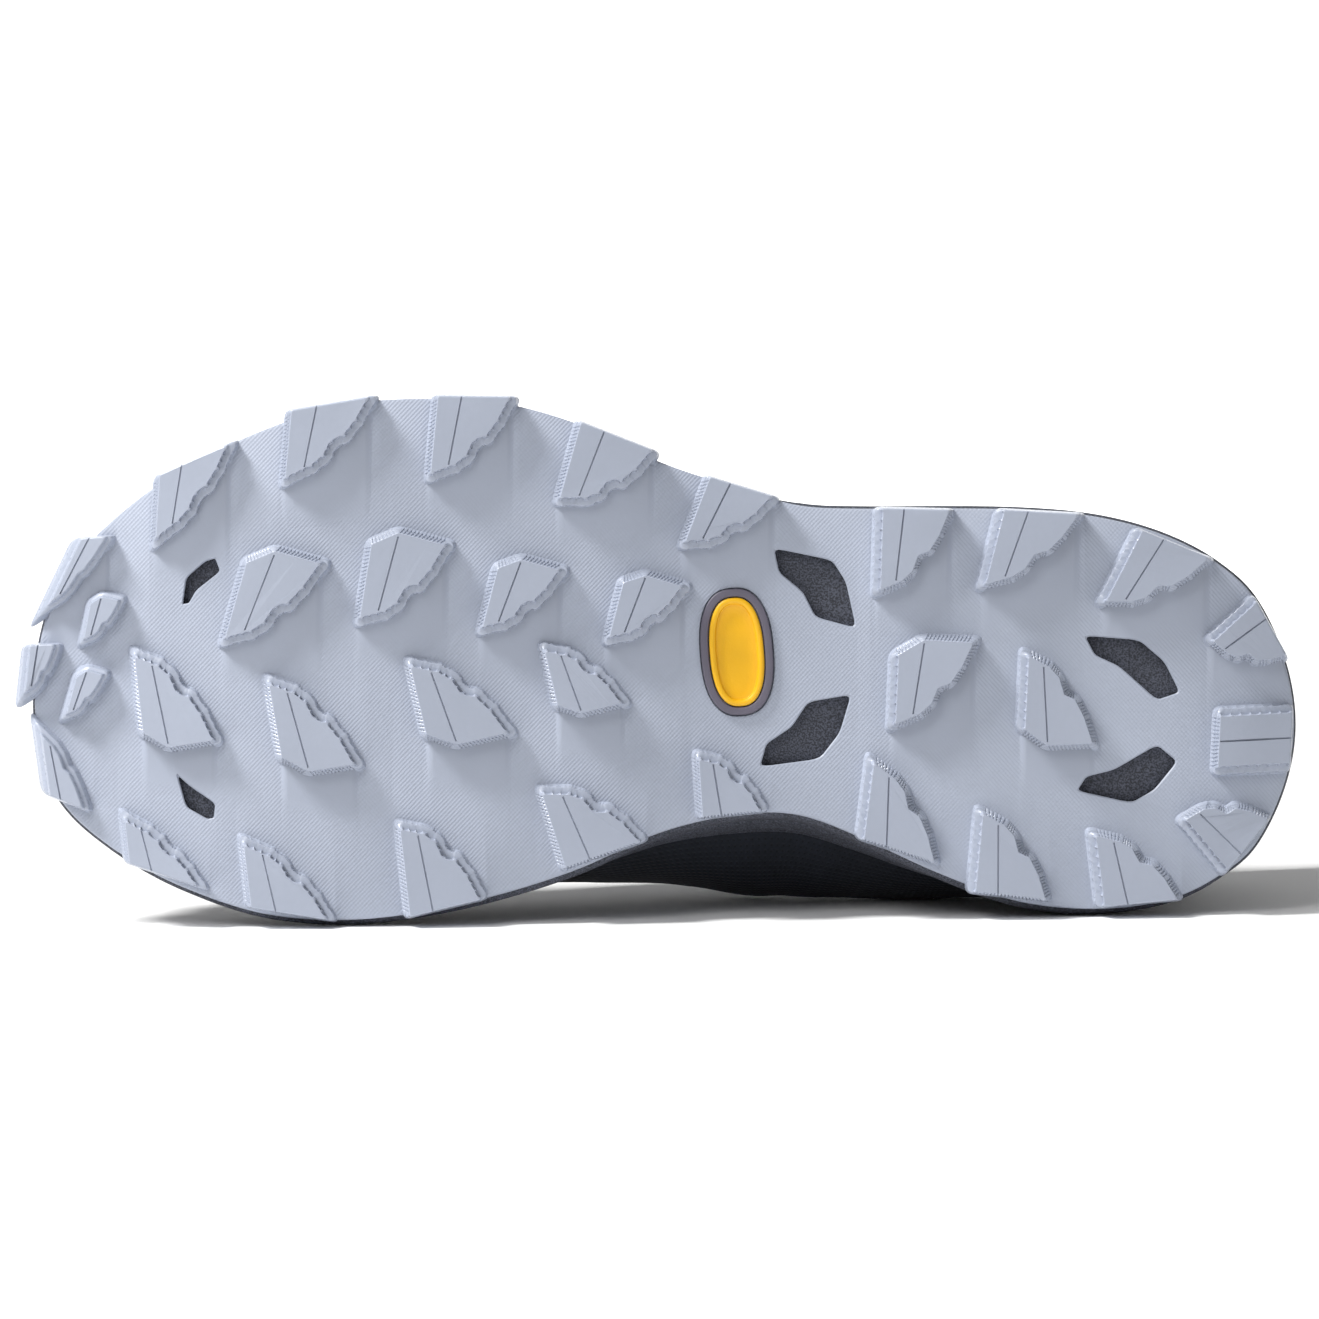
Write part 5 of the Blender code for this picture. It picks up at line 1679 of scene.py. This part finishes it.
@dataclass
class Upper:
    """The mesh shell with its padded collar and its lining."""

    form: UpperForm
    around: int = 384
    outer_rows: int = 64
    inner_rows: int = 30
    lip_rows: int = 7

    def build(self, shop: Workshop) -> None:
        """Build the upper.

        Args:
            shop: where it is placed.
        """
        form = self.form
        turns = whole_round(self.around)
        rising = np.linspace(0.0, 1.0, self.outer_rows)
        falling = np.linspace(1.0, 0.0, self.inner_rows)
        outer = form.skin(turns, rising, form.creases(turns, rising))
        inner = form.skin(turns, falling, -form.walls(turns, falling)
                          + 0.7 * form.creases(turns, falling))
        up = unit(outer[:, -1] - outer[:, -3])
        middle, half = (outer[:, -1] + inner[:, 0]) / 2.0, (outer[:, -1] - inner[:, 0]) / 2.0
        reach = np.linalg.norm(half, axis=1, keepdims=True)
        lip = []
        for k in range(1, self.lip_rows + 1):
            angle = math.pi * k / (self.lip_rows + 1)
            lip.append(middle + half * math.cos(angle) + up * reach * math.sin(angle))
        grid = np.concatenate([outer, np.stack(lip, axis=1), inner], axis=1)
        slots = [Cloth.KNIT] * (self.outer_rows + 1)
        slots += [Cloth.LINING] * (self.lip_rows + self.inner_rows - 1)
        draft = MeshDraft()
        draft.add_grid(grid, closed_rows=True, closed_columns=True, slots=slots)
        shop.place("upper_shell", draft.build("upper"), (KNIT, LINING), ["upper"], "mesh", 50.0)


@dataclass
class Overlays:
    """The toe cap, the heel counter and the eyestay, each a film over the upper."""

    form: UpperForm
    thickness: float = 0.0010
    toe_cap_height: float = 0.0200
    toe_cap_end: float = 0.755
    counter_height: float = 0.0460
    counter_end: float = 0.235
    stay_share: float = 0.77
    stay_edge: float = 0.998
    least_share: float = 0.012
    rows: int = 26

    def film(self, turns: Array, low: Array, high: Array) -> bpy.types.Mesh:
        """A film between two lines of the upper, thinner towards its edges.

        Args:
            turns: its sections.
            low: the share where each section starts.
            high: the share where it ends.

        Returns:
            The film's mesh.
        """
        form = self.form
        s = np.linspace(0.0, 1.0, self.rows)
        shares = low[:, None] + (high - low)[:, None] * s
        ends = np.minimum(np.arange(len(turns)), np.arange(len(turns))[::-1])
        body = np.minimum(fade(s, -0.02, 0.10), 1.0 - fade(s, 0.90, 1.02))
        body = body[None, :] * fade(ends, -2.0, 5.0)[:, None]
        relief = form.creases(turns, shares)
        base = relief + form.plan.fit
        outer = form.skin(turns, shares, base + self.thickness * (0.35 + 0.65 * body))
        inner = form.skin(turns, shares, base)
        draft = MeshDraft()
        draft.add_tube(np.concatenate([outer, inner[:, ::-1]], axis=1))
        return draft.build("film")

    def edges(self, turns: Array, line: Sequence[Point]) -> tuple[Array, Array]:
        """Where sections rise over the midsole and where they pass a line of the side view.

        Args:
            turns: the sections.
            line: the line's x and z, from the lowest x.

        Returns:
            The lowest and the highest share of each section.
        """
        plan = self.form.plan
        shares = np.linspace(0.0, 1.0, 400)
        place = self.form.points(turns, shares)
        x, z = place[..., 0], place[..., 2]
        top = np.interp(x, [p[0] for p in line], [p[1] for p in line])
        low = np.argmax(z > plan.footbed(x) + 2.0 * plan.fit, axis=1)
        high = np.argmax(z > top, axis=1)
        return shares[low], shares[np.maximum(high, low)]

    def cover(self, turns: Array, line: Sequence[Point]) -> bpy.types.Mesh:
        """A film from the midsole's edge up to a line, where it is high enough."""
        low, high = self.edges(turns, line)
        kept = high > low + self.least_share
        return self.film(turns[kept], low[kept], high[kept])

    def build(self, shop: Workshop) -> None:
        """Build the overlays.

        Args:
            shop: where they are placed.
        """
        plan, cap, tall = self.form.plan, self.toe_cap_height, self.counter_height
        length, gap = plan.length, 2.0 * plan.fit
        start, end = self.toe_cap_end * length, self.counter_end * length
        top, base = float(plan.footbed(length)) + cap, float(plan.footbed(0.0))
        line = [(start, float(plan.footbed(start)) + gap)]
        line += [(station * length, top - drop * cap) for station, drop in CAP_LINE]
        film = self.cover(np.linspace(0.6, 1.4, 260), line)
        shop.place("toe_cap_film", film, (OVERLAY_FILM,), ["toe_cap"], "overlay", 50.0)
        line = [(-0.1 * length, base + tall)]
        line += [(part * end, base + rise * tall) for part, rise in COUNTER_LINE]
        line += [(end, float(plan.footbed(end)) + gap), (0.5 * length, base)]
        film = self.cover(np.linspace(-0.4, 0.4, 300), line)
        shop.place("heel_counter_shell", film, (COUNTER_FILM,), ["heel_counter"], "overlay", 50.0)
        turns = np.linspace(0.5, 1.5, 320)
        film = self.film(turns, *(np.full(320, edge) for edge in (self.stay_share,
                                                                 self.stay_edge)))
        shop.place("eyestay_film", film, (OVERLAY_FILM,), ["eyestay"], "overlay", 50.0)


@dataclass
class Tongue:
    """The padded tongue under the throat."""

    form: UpperForm
    thickness: float = 0.0045
    rise: float = 0.0200
    crown: float = 0.0036
    curl: float = 0.0014
    clearance: float = 0.0007
    throat: tuple[float, float] = (0.860, 0.515)

    def front_row(self) -> Array:
        """The first row, which follows the inside of the vamp."""
        reach = 1.0 - self.throat[0]
        steps = np.array([1.0, 0.8, 0.6, 0.3, 0.0, -0.3, -0.6, -0.8, -1.0])
        below = -(self.form.wall + 2.0 * self.clearance)
        return self.form.skin(1.0 - reach * steps, np.array([0.83]), below)[:, 0]

    def row(self, part: float) -> Array:
        """A row of the upper face at a share of the throat, from wing to wing."""
        turn = self.throat[0] + (self.throat[1] - self.throat[0]) * part
        below = -(self.form.wall + self.clearance)
        wing = 0.86 + 0.08 * max(2.0 * part - 1.0, 0.0)
        shares = np.array([wing, (wing + 1.0) / 2.0, 1.0])
        lateral, medial = self.form.skin(np.array([turn, 2.0 - turn]), shares, below)
        crown = self.crown * min((part - 0.15) / 0.35, 1.0)
        bridge = []
        for step in (0.25, 0.5, 0.75):
            point = lateral[-1] * (1.0 - step) + medial[-1] * step
            bridge.append(point + np.array([0.0, 0.0, crown * 4.0 * step * (1.0 - step)]))
        return np.concatenate([lateral, bridge, medial[::-1]])

    def build(self, shop: Workshop) -> None:
        """Build the tongue.

        Args:
            shop: where it is placed.
        """
        rows = [self.front_row()] + [self.row(k / 10.0) for k in range(11)]
        last = rows[-1]
        way = unit((last - rows[-2]).mean(axis=0))
        centre = last.mean(axis=0)
        for k in (1, 2, 3):
            row = centre + (last - centre) * (0.84 - 0.04 * k) + way * self.rise * k / 3.0
            rows.append(row + np.array([0.0, 0.0, self.curl * k]))
        draft = MeshDraft()
        draft.add_grid(np.array(rows))
        mesh = draft.build("tongue")
        holder = link("tongue_draft", mesh)
        if mesh.polygons[len(mesh.polygons) // 2].normal.z < 0.0:
            mesh.flip_normals()
        thick = holder.modifiers.new("thickness", "SOLIDIFY")
        thick.thickness, thick.offset = self.thickness, -1.0
        soft = holder.modifiers.new("softness", "SUBSURF")
        soft.levels = soft.render_levels = 3
        piece = shop.place("tongue_pad", spend(holder), (TONGUE_CLOTH,), ["tongue"], "tongue",
                           60.0)


@dataclass
class Lacing:
    """The eyelets and the lace that runs through them."""

    form: UpperForm
    pairs: int = 6
    first_turn: float = 0.745
    top_turn: float = 0.525
    share: float = 0.915
    eyelet_radius: float = 0.0036
    bore: float = 0.0019
    eyelet_thickness: float = 0.0008
    seat: float = 0.0016
    lace_width: float = 0.0038
    lace_thickness: float = 0.0026
    hump: float = 0.0032
    squareness: float = 0.8
    path_steps: int = 9
    twist_rounds: int = 12

    def turn(self, index: int, side: Side) -> float:
        """The turn of an eyelet, counted from the front of the throat."""
        lateral = self.first_turn + (self.top_turn - self.first_turn) * index / (self.pairs - 1)
        return side.turn(lateral)

    def eyelets(self, shop: Workshop) -> None:
        """Build the eyelets.

        Args:
            shop: where they are placed.
        """
        draft = MeshDraft()
        bore, edge, tall = self.bore, self.eyelet_radius, self.eyelet_thickness
        profile = ((bore + 0.0001, 0.0), (bore, 0.35 * tall), (bore + 0.0001, 0.75 * tall),
                   (bore + 0.0004, tall), (edge - 0.0006, tall), (edge - 0.0002, 0.8 * tall),
                   (edge, 0.4 * tall), (edge, 0.0))
        c, s = circle(36)
        for index in range(self.pairs):
            for side in Side:
                turn = self.turn(index, side)
                base = self.form.spot(turn, self.share, self.seat)
                normal = Vector(self.form.normals(np.array([turn]),
                                                  np.array([self.share]))[0, 0])
                spin = np.array(normal.to_track_quat("Z", "Y").to_matrix())
                rings = [np.column_stack([radius * c, radius * s, np.full(len(c), level)])
                         @ spin.T + base for radius, level in profile]
                draft.add_grid(np.array(rings), closed_rows=True, closed_columns=True)
        names = [f"eyelet_{side.value}_{index + 1}" for side in Side
                 for index in range(self.pairs)]
        shop.place("eyelet_rings", draft.build("eyelets"), (EYELET_PLASTIC,), names, "eyelet",
                   50.0)

    def leg(self, start: int, end: int, side: Side, over: float) -> list[Array]:
        """The lace from an eyelet of one side to one of the other.

        It leaves under the eyestay's edge and comes down through the other eyelet.

        Args:
            start: the eyelet that it leaves.
            end: the eyelet that it goes to.
            side: the side that it leaves.
            over: how much of a crossing's rise it has.

        Returns:
            Points of its middle line.
        """
        form, leaving, coming = self.form, self.turn(start, side), self.turn(end, side.other)
        deep = -(form.wall + 0.0010)
        first, second = form.spot(leaving, 1.0, 0.0), form.spot(coming, 1.0, 0.0)
        points = [form.spot(leaving, 0.955, deep), form.spot(leaving, 0.995, deep + 0.0004)]
        for step, height, rise in CROSSING:
            point = first * (1.0 - step) + second * step
            point[2] += height + self.hump * over * rise
            points.append(point)
        top = self.seat + self.lace_thickness / 2.0 + 0.0002
        down = ((0.992, top), (0.955, top + 0.0004), (0.928, top + 0.0002),
                (self.share, self.seat - 0.0002), (self.share, deep))
        return points + [form.spot(coming, share, offset) for share, offset in down]

    def lace(self, shop: Workshop) -> None:
        """Build the lace.

        Args:
            shop: where it is placed.
        """
        top = self.pairs - 1
        legs = [(index, index - 1, 0.0) for index in range(top, 0, -1)] + [(0, 0, 0.0)]
        legs += [(index, index + 1, 1.0) for index in range(top)]
        side, path = Side.LATERAL, []
        for start, end, over in legs:
            path += self.leg(start, end, side, over)
            side = side.other
        line = self.smooth(np.array(path), self.path_steps)
        way = unit(np.gradient(line, axis=0))
        across = unit(np.cross(way, np.array([0.0, 0.0, 1.0])))
        for _ in range(self.twist_rounds):
            across[1:-1] = across[:-2] + across[1:-1] + across[2:]
            across = unit(across - way * np.sum(across * way, axis=1, keepdims=True))
        up = np.cross(across, way)
        u, v = (bulge(part, self.squareness) for part in circle(14))
        u, v = self.lace_width / 2.0 * u, self.lace_thickness / 2.0 * v
        grid = (line[:, None, :] + across[:, None, :] * u[None, :, None]
                + up[:, None, :] * v[None, :, None])
        draft = MeshDraft()
        draft.add_tube(grid)
        length = float(np.linalg.norm(np.diff(line, axis=0), axis=1).sum())
        LOG.info("lace: %.3f m in the eyelets", length)
        shop.place("lace_cord", draft.build("lace"), (BRAID,), ["lace"], "lace", 60.0)

    def smooth(self, path: Array, steps: int) -> Array:
        """A smooth line through points.

        Args:
            path: the points.
            steps: points of the line for each of them.

        Returns:
            The line.
        """
        padded = np.concatenate([[2 * path[0] - path[1]], path, [2 * path[-1] - path[-2]]])
        line = []
        for i in range(1, len(padded) - 2):
            p0, p1, p2, p3 = padded[i - 1:i + 3]
            for s in np.arange(steps) / steps:
                line.append(0.5 * (2 * p1 + (p2 - p0) * s + (2 * p0 - 5 * p1 + 4 * p2 - p3)
                                   * s * s + (3 * p1 - p0 - 3 * p2 + p3) * s ** 3))
        return np.array(line + [path[-1]])

    def build(self, shop: Workshop) -> None:
        """Build the eyelets and the lace.

        Args:
            shop: where they are placed.
        """
        self.eyelets(shop)
        self.lace(shop)


@dataclass
class Stitching:
    """Rows of stitches round the collar and along the eyestay."""

    form: UpperForm
    pitch: float = 0.0031
    length: float = 0.0023
    radius: float = 0.00032
    film: float = 0.001
    stay_rows: tuple[float, float] = (0.795, 0.972)
    stay_turns: tuple[float, float] = (0.515, 1.485)
    collar_rows: tuple[float, float] = (0.8, 0.825)
    collar_turns: tuple[float, float] = (-0.44, 0.44)

    def row(self, draft: MeshDraft, turns: tuple[float, float], share: float,
            offset: float) -> None:
        """Add a row of stitches.

        Args:
            draft: what they are added to.
            turns: where the row starts and ends.
            share: of the sections' curves.
            offset: of the stitches over the upper's face.
        """
        places = np.linspace(*turns, 1200)
        shares = np.array([share])
        line = self.form.skin(places, shares, self.form.creases(places, shares) + offset)[:, 0]
        normals = self.form.normals(places, shares)[:, 0]
        run = np.concatenate([[0.0], np.cumsum(np.linalg.norm(np.diff(line, axis=0), axis=1))])
        c, s = circle(6)
        for start in np.arange(0.0, run[-1] - self.length, self.pitch):
            at = np.searchsorted(run, (start, start + self.length))
            a, b, up = line[at[0]], line[at[1]], normals[at[0]]
            way = unit(b - a)
            across = np.cross(way, up)
            rings = []
            for part, size, sink in ((0.0, 0.35, 1.0), (0.15, 0.9, 0.2), (0.5, 1.0, 0.0),
                                     (0.85, 0.9, 0.2), (1.0, 0.35, 1.0)):
                centre = a + (b - a) * part - up * self.radius * sink
                rings.append(centre + self.radius * size * (np.outer(c, across)
                                                            + np.outer(s, up)))
            draft.add_tube(np.array(rings))

    def build(self, shop: Workshop) -> None:
        """Build the stitches.

        Args:
            shop: where they are placed.
        """
        draft = MeshDraft()
        for share in self.stay_rows:
            self.row(draft, self.stay_turns, share, self.form.plan.fit + self.film)
        for share in self.collar_rows:
            self.row(draft, self.collar_turns, share, 0.0)
        shop.place("seam_stitches", draft.build("stitches"), (THREAD,), [], "lace", 60.0)


@dataclass(frozen=True)
class Lamp:
    """A soft square lamp, of a size and power, that stands at a place and looks at its aim."""

    name: str
    place: Point
    size: float
    energy: float
    colour: Point
    aim: Point = (0.0, 0.0, 0.06)

    def build(self) -> None:
        """Build the lamp."""
        data = bpy.data.lights.new(self.name, "AREA")
        data.size, data.energy, data.color = self.size, self.energy, self.colour
        lamp = link(self.name, data)
        lamp.location = self.place
        way = Vector(self.aim) - Vector(self.place)
        lamp.rotation_euler = way.to_track_quat("-Z", "Y").to_euler()


WARM, COOL, WHITE = (1.0, 0.995, 0.985), (0.97, 0.98, 1.0), (1.0, 1.0, 1.0)
LAMPS = (
    Lamp("key", (-1.0, -1.7, 1.6), 0.9, 18.0, WARM),
    Lamp("skimmer", (-1.5, -0.42, 2.0), 0.6, 79.0, WARM),
    Lamp("fill", (1.6, -1.8, 0.9), 1.4, 3.0, COOL),
    Lamp("sweep_lamp", (0.0, 1.0, 2.0), 1.6, 150.0, WHITE, (0.0, 3.4, 1.2)),
)


@dataclass
class Studio:
    """The camera, the floor with its sweep and the soft light."""

    plan: SolePlan
    lens: float = 300.0
    sensor: float = 36.0
    frame_width: float = 0.30785
    centre: tuple[float, float] = (0.50274, 0.0966)
    floor_front: float = -8.0
    floor_side: float = 7.0
    sweep_start: float = 2.2
    sweep_radius: float = 2.4
    wall_top: float = 7.0
    daylight: float = 0.19

    def camera(self, lying: Matrix) -> None:
        """Make the camera, which looks square on the lugs' faces, toe to the left.

        Args:
            lying: where the shoe lies.
        """
        data = bpy.data.cameras.new("camera")
        data.lens, data.sensor_width = self.lens, self.sensor
        data.clip_start, data.clip_end = 0.01, 100.0
        camera = link("camera", data)
        distance = self.frame_width * self.lens / self.sensor
        x, y = self.plan.place(*self.centre)
        turned = Matrix(((-1.0, 0.0, 0.0, x), (0.0, 1.0, 0.0, y), (0.0, 0.0, -1.0, -distance),
                         (0.0, 0.0, 0.0, 1.0)))
        camera.matrix_world = lying @ turned
        bpy.context.scene.camera = camera

    def floor(self) -> None:
        """Make the pale floor, which sweeps up behind the shoe."""
        turn = np.linspace(0.0, np.pi / 2.0, 40)
        bend = np.column_stack([self.sweep_start + self.sweep_radius * np.sin(turn),
                                self.sweep_radius * (1.0 - np.cos(turn))])
        line = np.vstack([[self.floor_front, 0.0], [-1.0, 0.0], [0.0, 0.0], [1.0, 0.0], bend,
                          [bend[-1, 0], self.wall_top]])
        across = np.linspace(-self.floor_side, self.floor_side, 9)
        draft = MeshDraft()
        draft.add_grid(np.array([[(x, y, z) for x in across] for y, z in line]))
        mesh = draft.build("floor")
        if mesh.polygons[0].normal.z < 0.0:
            mesh.flip_normals()
        mesh.shade_smooth()
        floor = link("floor", mesh)
        graph = Graph("pale_floor", (0.92, 0.92, 0.92), 0.9)
        place = graph.tree.nodes.new("ShaderNodeTexCoord").outputs["Object"]
        graph.set("Base Color", graph.blend(graph.noise(place, 0.4), (0.915, 0.915, 0.915),
                                            (0.925, 0.925, 0.925)))
        mesh.materials.append(graph.material)

    def light(self) -> None:
        """Make the soft light."""
        scene = bpy.context.scene
        world = bpy.data.worlds.new("studio")
        world.use_nodes = True
        background = world.node_tree.nodes["Background"]
        background.inputs["Color"].default_value = (*WHITE, 1.0)
        background.inputs["Strength"].default_value = self.daylight
        scene.world = world
        for lamp in LAMPS:
            lamp.build()
        scene.view_settings.view_transform = "Standard"
        scene.view_settings.look = "None"


def main() -> None:
    """Load the part and build the shoe's looks round it."""
    logging.basicConfig(level=logging.INFO, format="%(name)s: %(message)s")
    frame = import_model()
    plan = SolePlan()
    form = UpperForm(plan)
    lying = lying_matrix(plan, frame["record"])
    studio = Studio(plan)
    studio.camera(lying)
    shop = Workshop(lying)
    badge = Badge(plan)
    Outsole(plan).build(shop, badge)
    badge.build(shop)
    Midsole(plan).build(shop)
    Insole(form).build(shop)
    Upper(form).build(shop)
    Overlays(form).build(shop)
    Tongue(form).build(shop)
    Lacing(form).build(shop)
    Stitching(form).build(shop)
    studio.floor()
    studio.light()


if __name__ == "__main__":
    main()
